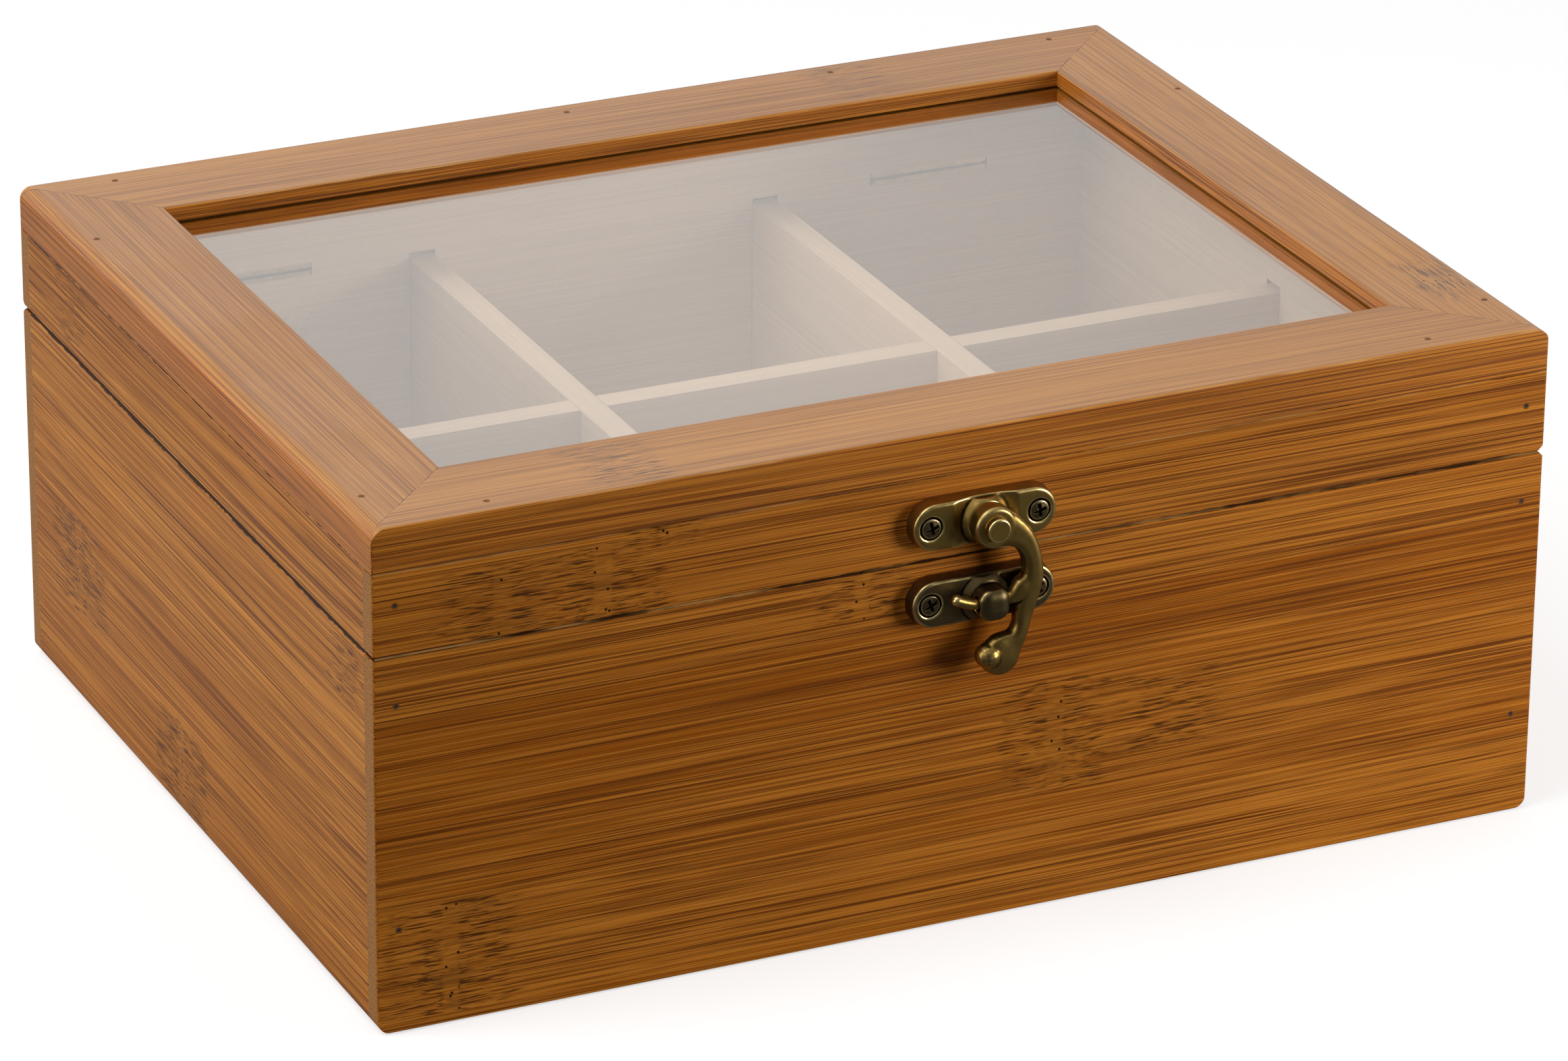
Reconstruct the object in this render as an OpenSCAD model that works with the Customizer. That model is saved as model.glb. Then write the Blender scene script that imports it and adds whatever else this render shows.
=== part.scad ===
// Six-compartment tea bag box in solid bamboo, with a glazed lid on two small
// butt hinges and a cast swing latch at the front.
// Millimetres. The origin is the centre of the underside; +X is the right
// end, +Y the back and +Z up. The lid is shut and the latch arm is hooked.

/* [Box] */
// Overall width, left to right
box_w = 220; // [170:1:320]
// Overall depth, front to back
box_d = 170; // [120:1:260]
// Height of the body, from the underside to the split
body_h = 69; // [55:1:110]
// Thickness of the four walls of the body and of the lid
wall_t = 8; // [7:0.5:12]
// Thickness of the front and back walls where they lap over the side walls
lap_t = 4; // [3:0.5:5]
// Thickness of the bottom board
bottom_t = 5; // [3:0.5:8]
// Width of the step in the walls that the bottom board is let into
bottom_step = 4; // [2:0.5:4]

/* [Lid] */
// Height of the lid's four walls, below the frame
apron_h = 15; // [12:1:40]
// Width of the four mitred rails of the frame
rail_w = 20.5; // [15:0.5:32]
// Thickness of the rails
rail_t = 8; // [7:0.5:12]
// Thickness of the glass
glass_t = 2; // [1.5:0.5:3]
// Depth of the top of the glass below the top of the rails
glass_drop = 3.2; // [2.5:0.1:4]
// Length of the glass edge that sits in a rail
glass_bite = 3.5; // [2:0.5:6]

/* [Edges] */
// Radius on the long edges of the left and right sides, above and below
edge_r = 2.8; // [1:0.1:4]
// Radius on the same edges of the front and back
face_edge_r = 0.5; // [0.3:0.1:2]
// Radius on the four upright corners
corner_r = 0.5; // [0.3:0.1:3]
// Chamfer on each side of the split at the left
split_left = 0.5; // [0.1:0.1:2]
// Chamfer on each side of the split at the right
split_right = 1.2; // [0.1:0.1:2]
// Chamfer on each side of the split at the front
split_front = 0.2; // [0.1:0.1:2]
// Chamfer on each side of the split at the back, where the lid's edge turns
split_back = 1.5; // [1.3:0.1:2]
// Small chamfer on both sides of the glue line under the rails
glue_chamfer = 0.15; // [0.1:0.05:0.8]
// Radius on the inner top edge of the rails
inner_r = 0.5; // [0.3:0.1:1.5]

/* [Dividers] */
// Thickness of the three divider boards
divider_t = 5; // [3:0.5:8]
// Height of the rim above the top of the dividers
divider_drop = 1; // [0:0.5:10]
// Depth of the grooves in the walls that hold the dividers' ends
groove_depth = 2; // [1:0.5:3]

/* [Brads] */
// Diameter of the brads
brad_d = 1.2; // [0.8:0.1:2]
// Length of the brads in the corners of the walls
brad_l = 16; // [12:1:20]
// Length of the brads down through the rails
rail_brad_l = 12; // [10:0.5:12.5]
// Depth that the brads are punched below the surface
brad_set = 0.3; // [0.1:0.1:1]
// Height of the lower brad at each corner of the body
brad_low_z = 19; // [12:1:30]
// Height of the upper brad at each corner of the body
brad_high_z = 60; // [40:1:62]
// Height of the lid's corner brads above the split
lid_brad_z = 9; // [5:0.5:9.5]
// Brads down through the front rail: which end, and how far from it
brads_front = [[-1, 22], [1, 22]];
// Brads down through the back rail: which end, and how far from it
brads_back = [[-1, 17], [-1, 106], [1, 60], [1, 14]];
// Brads down through the left rail: front or back end, and how far from it
brads_left = [[-1, 14], [1, 30]];
// Brads down through the right rail: front or back end, and how far from it
brads_right = [[-1, 16], [1, 38]];

/* [Hinges] */
// Length of each hinge
hinge_len = 24; // [18:1:36]
// Distance from each end of the box to the middle of its hinge
hinge_inset = 41; // [25:1:60]
// Thickness of the leaves
leaf_t = 0.9; // [0.7:0.1:1.2]
// Space between the two leaves when the lid is shut
leaf_gap = 0.6; // [0.3:0.1:1]
// Diameter of the hinge pins
pin_d = 1.6; // [1.2:0.1:2]
// Distance of the hinge axis inside the back face
axis_set = 1.15; // [1:0.05:1.4]
// Number of knuckles, the end ones on the body's leaf
knuckles = 5; // [3:2:7]
// Distance of each hinge screw from the middle of the hinge
hinge_screw_x = 7.2; // [5:0.1:9]
// Distance of the hinge screws inside the hinge axis
hinge_screw_y = 4.3; // [3.9:0.1:4.6]
// Shank diameter of the hinge screws
hinge_screw_d = 1.6; // [1.2:0.1:2]
// Head diameter of the hinge screws
hinge_head_d = 3; // [2.6:0.1:3.4]
// Length of the hinge screws
hinge_screw_l = 9; // [6:1:12]

/* [Latch] */
// Height of the latch's pivot above the split
latch_up = 7.1; // [5.5:0.1:9]
// Length of each of the two plates
plate_l = 27.3; // [26:0.1:34]
// Height of each plate
plate_h = 9.1; // [8.4:0.1:10]
// Thickness of the plates at their ends
plate_t = 3; // [2.6:0.1:3.2]
// Width of the hollow across the middle of the lid's plate
dish_w = 12; // [11:0.5:14]
// Depth of that hollow
dish_depth = 0.9; // [0.4:0.1:1.4]
// Distance of the plates' screws from the pivot, to each side
plate_screw_x = 10.1; // [9:0.1:11]
// Shank diameter of the plates' screws
plate_screw_d = 2; // [1.6:0.1:2.4]
// Head diameter of the plates' screws
plate_head_d = 3.6; // [3:0.1:4]
// Gap round those heads, above the cone that they bear on
plate_head_gap = 0.3; // [0.1:0.1:0.4]
// Length of the plates' screws, from the face of the head
plate_screw_l = 9; // [6:0.5:9.5]
// Diameter of the boss under the arm's hub, at its top
boss_d = 7.2; // [6:0.1:7.4]
// Height of that boss above the wood
boss_top = 3.6; // [3.4:0.1:4]
// Radius of the arm's hub
hub_r = 3.8; // [3.6:0.1:4.6]
// Thickness of the hub
hub_t = 3.6; // [3.4:0.1:4]
// Diameter of the rivet that the arm turns on
rivet_d = 3; // [2.4:0.1:3.6]
// Diameter of the rivet's head
rivet_head_d = 4.3; // [3.8:0.1:5]
// Height of the rivet's head
rivet_head_h = 1.1; // [0.8:0.1:1.6]
// Radius of the hooked finger's centre line about the pivot
finger_reach = 14.3; // [14.2:0.1:14.8]
// Thickness of the finger
finger_d = 2.1; // [1.9:0.1:2.6]
// Angle from straight below the pivot to the finger's tip
finger_angle = 27; // [24:1:34]
// Radius of the thumb piece's flat part at the end of the arm
thumb_r = 3.6; // [3.2:0.1:4]
// Thickness of that flat part
thumb_t = 3.8; // [3:0.1:4]
// Diameter of the ball on the thumb piece
ball_d = 4.7; // [4.2:0.1:5.2]
// Width of the eye's post
eye_w = 5.6; // [4.8:0.1:5.8]
// Height of the eye's post
eye_h = 5.7; // [5.2:0.1:6.4]
// How far the eye's post stands out from the wood
eye_out = 7.9; // [7.8:0.1:8.4]

/* [Clearances] */
// Radial clearance of a turning pin in its bore
turn_fit = 0.05; // [0.02:0.01:0.1]
// Clearance round a fixed screw, brad or rivet in its hole
hole_fit = 0.02; // [0.01:0.01:0.05]
// Clearance round a divider in its groove and in its half lap
divider_fit = 0.1; // [0.05:0.05:0.3]
// Clearance above the glass and beyond its edges
glass_fit = 0.3; // [0.1:0.1:0.5]
// Clearance round the hinges in their recesses
recess_fit = 0.3; // [0.1:0.1:0.5]
// End clearance between knuckles, and under and over the arm's hub
end_fit = 0.1; // [0.05:0.05:0.2]
// Clearance round the finger in the eye
eye_fit = 0.25; // [0.15:0.05:0.4]

/* [Hidden] */

$fn = 48;
cut = 1;                            // overrun of a cut past a face
bamboo_front = [0.62, 0.38, 0.15];
bamboo_side = [0.70, 0.47, 0.25];
bamboo_top = [0.76, 0.56, 0.38];
bamboo_pale = [0.86, 0.72, 0.52];
brass_old = [0.42, 0.34, 0.18];
brass_new = [0.78, 0.65, 0.36];
steel = [0.35, 0.33, 0.30];

lid_h = apron_h + rail_t;
rail_z = body_h + apron_h;          // underside of the rails
top_z = body_h + lid_h;
inner_w = box_w - 2 * wall_t;
inner_d = box_d - 2 * wall_t;
divider_h = body_h - divider_drop - bottom_t;
cross_x = (inner_w + divider_t) / 6; // three equal compartments in a row
brad_in = wall_t / 2;               // brads run down the middle of a wall

glass_z = rail_t - glass_drop - glass_t;
slot_h = glass_t + glass_fit;
slot_d = glass_bite + glass_fit;

axis_y = box_d / 2 - axis_set;
knuckle_r = pin_d / 2 + turn_fit + leaf_t;
knuckle_l = (hinge_len - (knuckles - 1) * end_fit) / knuckles;
leaf_w = wall_t - axis_set;         // from the axis to the wall's inner face

latch_z = body_h + latch_up;        // height of the pivot above the underside
hub_z = boss_top + end_fit;         // back of the hub, out from the wood
arm_mid = hub_z + hub_t / 2;        // middle plane of the arm
ball_lift = plate_t + eye_fit + ball_d / 2 - arm_mid;
thumb_lift = ball_lift - (ball_d - thumb_t) / 4;
finger_sag = finger_reach - sqrt(pow(finger_reach, 2) - pow(eye_w / 2, 2));
keeper_drop = finger_reach - finger_sag / 2;
keeper_z = latch_z - keeper_drop;
dish_r = (pow(dish_w / 2, 2) + pow(dish_depth, 2)) / (2 * dish_depth);
bevel = 0.3;                        // sloped edge of the plates' faces
draft = 0.3;                        // what the plates lose from back to face
hub_edge = 0.6;                     // worn edge of the arm's hub
arm_scale = finger_reach / 14.3;    // the arm's stations are drawn for this reach
face_r = plate_h / 2 - draft - bevel;
screw_edge = 0.25;                  // upright rim of a screw's head

// ---------- Outlines and shared shapes ----------

// What a round edge of radius r removes from a corner at [0, 0],
// where the material lies towards -X and +Y.
module round_corner(r) {
    difference() {
        translate([-r, -cut]) square([r + cut, r + cut]);
        translate([-r, r]) circle(r);
    }
}

// What a chamfer of size c removes from the same corner.
module chamfer_corner(c) {
    polygon([[-c - cut, -cut], [cut, -cut], [cut, c + cut]]);
}

// Plan of the box, with its upright corners rounded.
module plan_outline() {
    square([box_w, box_d - 2 * corner_r], center = true);
    square([box_w - 2 * corner_r, box_d], center = true);
    for (x = [-1, 1], y = [-1, 1])
        translate([x * (box_w / 2 - corner_r), y * (box_d / 2 - corner_r)])
            circle(corner_r);
}

// Upright section of the body: round below, chamfered at the split. The two
// chamfers are those of the span's low end and of its high end.
module body_section(span, r, split) {
    difference() {
        translate([-span / 2, 0]) square([span, body_h]);
        for (end = [0, 1]) mirror([1 - end, 0]) translate([span / 2, 0]) {
            round_corner(r);
            translate([0, body_h]) mirror([0, 1]) chamfer_corner(split[end]);
        }
    }
}

// Upright section of the lid's walls: chamfered at the split and the glue line.
module apron_section(span, split) {
    difference() {
        translate([-span / 2, 0]) square([span, apron_h]);
        for (end = [0, 1]) mirror([1 - end, 0]) translate([span / 2, 0]) {
            chamfer_corner(split[end]);
            translate([0, apron_h]) mirror([0, 1]) chamfer_corner(glue_chamfer);
        }
    }
}

// Upright section of the lid's frame: chamfered at the glue line, round above.
module frame_section(span, r) {
    difference() {
        translate([-span / 2, 0]) square([span, rail_t]);
        for (m = [0, 1]) mirror([m, 0]) translate([span / 2, 0]) {
            chamfer_corner(glue_chamfer);
            translate([0, rail_t]) mirror([0, 1]) round_corner(r);
        }
    }
}

// Block with one section along its width and another along its depth.
module two_way_block(h) {
    intersection() {
        rotate([90, 0, 0]) linear_extrude(box_d + cut, center = true) children(0);
        rotate([90, 0, 90]) linear_extrude(box_w + cut, center = true) children(1);
        linear_extrude(h) plan_outline();
    }
}

// Outer form of the body, as one block to cut the panels from.
module body_block() {
    two_way_block(body_h) {
        body_section(box_w, edge_r, [split_left, split_right]);
        body_section(box_d, face_edge_r, [split_front, split_back]);
    }
}

// Outer form of the lid's walls.
module apron_block() {
    translate([0, 0, body_h]) two_way_block(apron_h) {
        apron_section(box_w, [split_left, split_right]);
        apron_section(box_d, [split_front, split_back]);
    }
}

// Outer form of the four rails.
module frame_block() {
    translate([0, 0, rail_z]) two_way_block(rail_t) {
        frame_section(box_w, edge_r);
        frame_section(box_d, face_edge_r);
    }
}

// Front wall of either half, with a rabbet at each end for the side walls.
module lapped_wall(z, h) {
    translate([-box_w / 2, -box_d / 2, z]) difference() {
        cube([box_w, wall_t, h]);
        for (x = [-cut, box_w - wall_t])
            translate([x, lap_t, -cut]) cube([wall_t + cut, wall_t, h + 2 * cut]);
    }
}

// Left wall of either half, between the laps of the front and back walls.
module side_wall(z, h) {
    translate([-box_w / 2, lap_t - box_d / 2, z]) cube([wall_t, box_d - 2 * lap_t, h]);
}

// Turn the front of the box to its back, or its left to its right.
module to_back() { rotate([0, 0, 180]) children(); }
module to_right() { mirror([1, 0, 0]) children(); }

// Stand on the front face at a height: X right, Y up, Z out of the wood.
module on_front(z) { translate([0, -box_d / 2, z]) rotate([90, 0, 0]) children(); }

// Countersunk screw: the centre of its face at the origin, its shank along -Z.
module screw(d, head_d, length) {
    cone = (head_d - d) / 2;
    dome = head_d * 0.08;
    dome_r = (pow(head_d / 2, 2) + pow(dome, 2)) / (2 * dome);
    difference() {
        union() {
            translate([0, 0, -length]) cylinder(d = d, h = length - screw_edge);
            translate([0, 0, -screw_edge - cone]) cylinder(d1 = d, d2 = head_d, h = cone);
            translate([0, 0, -screw_edge]) cylinder(d = head_d, h = screw_edge);
            intersection() {
                translate([0, 0, dome - dome_r]) sphere(dome_r);
                translate([0, 0, -screw_edge]) cylinder(d = head_d, h = screw_edge + dome);
            }
        }
        for (a = [0, 90]) rotate([0, 0, a + 20])
            translate([0, 0, dome]) cube([head_d * 0.62, head_d * 0.15, head_d * 0.5], center = true);
    }
}

// Clearance hole and countersink for that screw, with room above its head
// and a gap round it down to twice the height of its rim.
module screw_hole(d, head_d, length, gap = 0) {
    cone = (head_d - d) / 2;
    translate([0, 0, -length - hole_fit]) cylinder(r = d / 2 + hole_fit, h = length);
    translate([0, 0, -screw_edge - cone])
        cylinder(r1 = d / 2 + hole_fit, r2 = head_d / 2 + hole_fit, h = cone);
    translate([0, 0, -screw_edge]) cylinder(r = head_d / 2 + hole_fit, h = screw_edge + cut);
    if (gap > 0)
        translate([0, 0, -2 * screw_edge]) cylinder(r = head_d / 2 + gap, h = 2 * screw_edge + cut);
}

// ---------- Brads ----------

// Brad with its head punched below the face at the origin, along -Z.
module brad(length) { translate([0, 0, -length]) cylinder(d = brad_d, h = length - brad_set); }
module brad_hole(length) {
    translate([0, 0, -length - hole_fit]) cylinder(r = brad_d / 2 + hole_fit, h = length + cut);
}

// Places of the brads through the front and back walls, at the heights given.
module at_corner_brads(heights) {
    for (turn = [0, 180], x = [-1, 1], z = heights)
        rotate([0, 0, turn]) on_front(z) translate([x * (box_w / 2 - brad_in), 0, 0]) children();
}
module at_body_brads() { at_corner_brads([brad_low_z, brad_high_z]) children(); }
module at_lid_wall_brads() { at_corner_brads([body_h + lid_brad_z]) children(); }

// Places of the brads down through the rails into the lid's walls.
module at_rail_brads() {
    for (b = brads_front)
        translate([b[0] * (box_w / 2 - b[1]), brad_in - box_d / 2, top_z]) children();
    for (b = brads_back)
        translate([b[0] * (box_w / 2 - b[1]), box_d / 2 - brad_in, top_z]) children();
    for (b = brads_left)
        translate([brad_in - box_w / 2, b[0] * (box_d / 2 - b[1]), top_z]) children();
    for (b = brads_right)
        translate([box_w / 2 - brad_in, b[0] * (box_d / 2 - b[1]), top_z]) children();
}

module body_brads() { color(steel) at_body_brads() brad(brad_l); }
module lid_wall_brads() { color(steel) at_lid_wall_brads() brad(brad_l); }
module rail_brads() { color(steel) at_rail_brads() brad(rail_brad_l); }

// ---------- Body ----------

// The bottom board, which is also what the walls' lower step is cut with.
module bottom_form() {
    reach = 2 * bottom_step;
    translate([0, 0, bottom_t / 2]) cube([inner_w + reach, inner_d + reach, bottom_t], center = true);
}

// Long board of the divider grid, without its half laps.
module long_form(grow = 0) {
    translate([0, 0, bottom_t]) linear_extrude(divider_h + grow * (divider_drop + cut))
        square([inner_w + 2 * groove_depth, divider_t + grow * 2 * divider_fit], center = true);
}

// Cross board of the divider grid, at a place along X.
module cross_form(x, grow = 0) {
    translate([x, 0, bottom_t]) linear_extrude(divider_h + grow * (divider_drop + cut))
        square([divider_t + grow * 2 * divider_fit, inner_d + 2 * groove_depth], center = true);
}

// Everything that is cut out of the four walls of the body.
module body_cuts() {
    bottom_form();
    long_form(grow = 1);
    for (x = [-cross_x, cross_x]) cross_form(x, grow = 1);
    at_body_brads() brad_hole(brad_l);
    hinge_recesses();
    at_hinges() at_hinge_screws() translate([0, 0, -leaf_gap / 2])
        screw_hole(hinge_screw_d, hinge_head_d, hinge_screw_l);
    at_keeper_screws() screw_hole(plate_screw_d, plate_head_d, plate_screw_l);
}

module front_panel() {
    color(bamboo_front) difference() {
        intersection() { body_block(); lapped_wall(0, body_h); }
        body_cuts();
    }
}
module back_panel() {
    color(bamboo_front) difference() {
        intersection() { body_block(); to_back() lapped_wall(0, body_h); }
        body_cuts();
    }
}
module left_panel() {
    color(bamboo_side) difference() {
        intersection() { body_block(); side_wall(0, body_h); }
        body_cuts();
    }
}
module right_panel() {
    color(bamboo_side) difference() {
        intersection() { body_block(); to_right() side_wall(0, body_h); }
        body_cuts();
    }
}
module bottom_board() { color(bamboo_pale) bottom_form(); }

// The laps: cross boards run over the long one, so it is cut from above.
module lap_cut(x, above) {
    side = divider_t / 2 + divider_fit;
    base = bottom_t + (above ? divider_h / 2 - divider_fit / 2 : -cut);
    translate([x - side, -side, base])
        cube([2 * side, 2 * side, divider_h / 2 + divider_fit / 2 + cut]);
}

// Trims a divider's ends back from the bottom of their grooves.
module divider_trim() {
    translate([0, 0, bottom_t]) linear_extrude(divider_h)
        square([inner_w + 2 * (groove_depth - divider_fit),
                inner_d + 2 * (groove_depth - divider_fit)], center = true);
}
module long_divider() {
    color(bamboo_pale) difference() {
        intersection() { long_form(); divider_trim(); }
        for (x = [-cross_x, cross_x]) lap_cut(x, above = true);
    }
}
module cross_divider(x) {
    color(bamboo_pale) difference() {
        intersection() { cross_form(x); divider_trim(); }
        lap_cut(x, above = false);
    }
}
module cross_divider_left() { cross_divider(-cross_x); }
module cross_divider_right() { cross_divider(cross_x); }

// ---------- Lid ----------

module lid_wall_cuts() {
    at_lid_wall_brads() brad_hole(brad_l);
    at_rail_brads() brad_hole(rail_brad_l);
    hinge_recesses();
    at_hinges() at_hinge_screws() mirror([0, 0, 1]) translate([0, 0, -leaf_gap / 2])
        screw_hole(hinge_screw_d, hinge_head_d, hinge_screw_l);
    at_latch_screws() screw_hole(plate_screw_d, plate_head_d, plate_screw_l);
}
module lid_front_wall() {
    color(bamboo_front) difference() {
        intersection() { apron_block(); lapped_wall(body_h, apron_h); }
        lid_wall_cuts();
    }
}
module lid_back_wall() {
    color(bamboo_front) difference() {
        intersection() { apron_block(); to_back() lapped_wall(body_h, apron_h); }
        lid_wall_cuts();
    }
}
module lid_left_wall() {
    color(bamboo_side) difference() {
        intersection() { apron_block(); side_wall(body_h, apron_h); }
        lid_wall_cuts();
    }
}
module lid_right_wall() {
    color(bamboo_side) difference() {
        intersection() { apron_block(); to_right() side_wall(body_h, apron_h); }
        lid_wall_cuts();
    }
}

// Section of a rail: X inwards from the outer face, Y up from the glue line.
module rail_section() {
    difference() {
        square([rail_w, rail_t]);
        translate([rail_w, rail_t]) mirror([0, 1]) round_corner(inner_r);
        translate([rail_w - slot_d, glass_z]) square([slot_d + cut, slot_h]);
    }
}

// Front rail of a frame of the given length and span, mitred at both ends.
module mitred_rail(length, span) {
    color(bamboo_top) intersection() {
        translate([0, -span / 2, rail_z]) rotate([90, 0, 90])
            linear_extrude(length, center = true) rail_section();
        translate([0, -span / 2, rail_z]) linear_extrude(rail_t)
            polygon([[-length / 2, 0], [length / 2, 0],
                     [length / 2 - rail_w, rail_w], [rail_w - length / 2, rail_w]]);
    }
}

// Rounds the outer edges of a rail and drills it for its brads.
module finished_rail() {
    difference() {
        intersection() {
            children();
            frame_block();
        }
        at_rail_brads() brad_hole(rail_brad_l);
    }
}
module front_rail() { finished_rail() mitred_rail(box_w, box_d); }
module back_rail() { finished_rail() to_back() mitred_rail(box_w, box_d); }
module left_rail() { finished_rail() rotate([0, 0, -90]) mitred_rail(box_d, box_w); }
module right_rail() { finished_rail() rotate([0, 0, 90]) mitred_rail(box_d, box_w); }

module glass_pane() {
    color([0.80, 0.84, 0.82, 0.4])
        translate([0, 0, rail_z + glass_z + glass_t / 2])
            cube([box_w - 2 * (rail_w - glass_bite), box_d - 2 * (rail_w - glass_bite), glass_t],
                 center = true);
}

// ---------- Hinges ----------

module at_hinge(side) {
    translate([side * (box_w / 2 - hinge_inset), axis_y, body_h]) children();
}
module at_hinges() { for (side = [-1, 1]) at_hinge(side) children(); }
module at_hinge_screws() {
    for (x = [-1, 1]) translate([x * hinge_screw_x, -hinge_screw_y, 0]) children();
}
module along_x(r, length) { rotate([0, 90, 0]) cylinder(r = r, h = length, center = true); }

// Recess in both edges for the leaves and the knuckles.
module hinge_recesses() {
    length = hinge_len + 2 * recess_fit;
    at_hinges() {
        along_x(knuckle_r + recess_fit, length);
        translate([-length / 2, -wall_t, -leaf_gap / 2 - leaf_t])
            cube([length, wall_t, leaf_gap + 2 * leaf_t]);
    }
}

// Places of the knuckles, from the left: 0 picks the body's, 1 the lid's.
module at_knuckles(pick) {
    for (i = [pick : 2 : knuckles - 1])
        translate([(i + 0.5) * knuckle_l + i * end_fit - hinge_len / 2, 0, 0]) children();
}

// The body's leaf of one hinge, with its axis at the origin.
module leaf(pick) {
    difference() {
        union() {
            difference() {
                translate([-hinge_len / 2, -leaf_w, -leaf_gap / 2 - leaf_t])
                    cube([hinge_len, leaf_w, leaf_t]);
                at_knuckles(1 - pick) along_x(knuckle_r + recess_fit, knuckle_l + 2 * end_fit);
                translate([0, leaf_t, 0]) along_x(leaf_t, hinge_len + cut);
            }
            at_knuckles(pick) along_x(knuckle_r, knuckle_l);
        }
        along_x(pin_d / 2 + turn_fit, hinge_len + cut);
        at_hinge_screws() translate([0, 0, -leaf_gap / 2])
            screw_hole(hinge_screw_d, hinge_head_d, hinge_screw_l);
    }
}
module body_leaf(side) { color(brass_new) at_hinge(side) leaf(0); }
module lid_leaf(side) { color(brass_new) at_hinge(side) mirror([0, 0, 1]) leaf(1); }
module hinge_leaf_body_left() { body_leaf(-1); }
module hinge_leaf_body_right() { body_leaf(1); }
module hinge_leaf_lid_left() { lid_leaf(-1); }
module hinge_leaf_lid_right() { lid_leaf(1); }
module hinge_pins() { color(steel) at_hinges() along_x(pin_d / 2, hinge_len); }
module hinge_screw() {
    translate([0, 0, -leaf_gap / 2]) screw(hinge_screw_d, hinge_head_d, hinge_screw_l - 0.5);
}
module hinge_screws_body() { color(brass_new) at_hinges() at_hinge_screws() hinge_screw(); }
module hinge_screws_lid() {
    color(brass_new) at_hinges() at_hinge_screws() mirror([0, 0, 1]) hinge_screw();
}

// ---------- Latch ----------

// Straight-sided bar with round ends whose sides slope from r_low to r_high.
module sloped_bar(reach, r_low, r_high, h) {
    for (x = [-reach, reach]) translate([x, 0, 0]) cylinder(r1 = r_low, r2 = r_high, h = h);
    rotate([90, 0, 90]) linear_extrude(2 * reach, center = true)
        polygon([[-r_low, 0], [r_low, 0], [r_high, h], [-r_high, h]]);
}

// Cast plate of either half, flat on its face.
module plate_blank() {
    reach = (plate_l - plate_h) / 2;
    side_h = plate_t - bevel;
    sloped_bar(reach, plate_h / 2, plate_h / 2 - draft, side_h);
    translate([0, 0, side_h]) sloped_bar(reach, plate_h / 2 - draft, face_r, bevel);
}

// Cone that rises from a plate's face, kept inside the plate's long edges.
module plate_rise(z_low, z_high, r_low, r_high) {
    intersection() {
        translate([0, 0, z_low]) cylinder(r1 = r_low, r2 = r_high, h = z_high - z_low);
        translate([-plate_l / 2, -face_r, 0]) cube([plate_l, 2 * face_r, z_high + cut]);
    }
}
module at_plate_screws() {
    for (x = [-1, 1]) translate([x * plate_screw_x, 0, plate_t - 0.1]) children();
}
module at_latch_screws() { on_front(latch_z) at_plate_screws() children(); }
module at_keeper_screws() { on_front(keeper_z) at_plate_screws() children(); }
module plate_screw() { screw(plate_screw_d, plate_head_d, plate_screw_l - 0.3); }
module plate_screw_hole() {
    screw_hole(plate_screw_d, plate_head_d, plate_screw_l, gap = plate_head_gap);
}

module latch_plate() {
    dish_floor = plate_t - dish_depth;
    color(brass_old) difference() {
        on_front(latch_z) difference() {
            union() {
                difference() {
                    plate_blank();
                    translate([0, 0, dish_floor + dish_r]) rotate([90, 0, 0])
                        cylinder(r = dish_r, h = plate_h + cut, center = true, $fn = 96);
                }
                plate_rise(dish_floor - 0.3, boss_top, boss_d / 2 + 1.4, boss_d / 2);
            }
            translate([0, 0, -cut]) cylinder(r = rivet_d / 2 + hole_fit, h = boss_top + 2 * cut);
            rivet_tail(hole_fit);
        }
        at_latch_screws() plate_screw_hole();
    }
}
module latch_plate_screws() { color(steel) at_latch_screws() plate_screw(); }

// Peened tail of the rivet, in a countersink at the back of the plate.
module rivet_tail(grow) {
    tail = 0.6;
    cylinder(r1 = rivet_d / 2 + tail + grow, r2 = rivet_d / 2 + grow, h = tail);
}

// Disc of radius r and thickness t, centred, with edges of radius e.
module soft_disc(r, t, e) {
    rotate_extrude() difference() {
        union() {
            translate([0, e - t / 2]) square([r, t - 2 * e]);
            translate([0, -t / 2]) square([r - e, t]);
            for (y = [-1, 1]) translate([r - e, y * (t / 2 - e)]) circle(e);
        }
        translate([-r, -t]) square([r, 2 * t]);
    }
}
module latch_rivet() {
    head_z = hub_z + hub_t + end_fit;
    color(brass_old) on_front(latch_z) {
        rivet_tail(0);
        cylinder(d = rivet_d, h = head_z + rivet_head_h / 2);
        translate([0, 0, head_z + rivet_head_h / 2])
            soft_disc(rivet_head_d / 2, rivet_head_h, rivet_head_h * 0.3);
    }
}

// Stations of the cast arm are X and Y about the pivot, half width, half
// thickness, lift out of the arm's middle plane, and the roundness of the
// section: 1 is an oval, less is squarer.

// The thumb piece: a flat oval that the arm's run ends in, with a ball at its
// inner side. Each line is
// the share of its radius along the run, the offset towards the arm's outer
// edge, the share of its thickness, and the roundness.
thumb_at = [1.75, -24.3] * arm_scale;
ball_at = [-0.4, -23.9] * arm_scale;
ball_stations = [for (t = [-0.97, -0.82, -0.52, -0.18, 0.18, 0.52, 0.82, 0.97])
    let (r = ball_d / 2 * sqrt(1 - t * t))
        [ball_at[0] + t * ball_d / 2, ball_at[1] + t * 0.2, r, r, ball_lift, 1]];
thumb_way = [-0.55, -0.835];
thumb_shape = [
    [-0.79, 0.5, 0.94, 0.7], [-0.42, 0.15, 0.98, 0.7], [0, 0, 1, 0.7], [0.42, 0, 0.95, 0.75],
    [0.71, 0, 0.8, 0.8], [0.89, 0, 0.56, 0.9], [0.97, 0, 0.3, 1]
];
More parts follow.
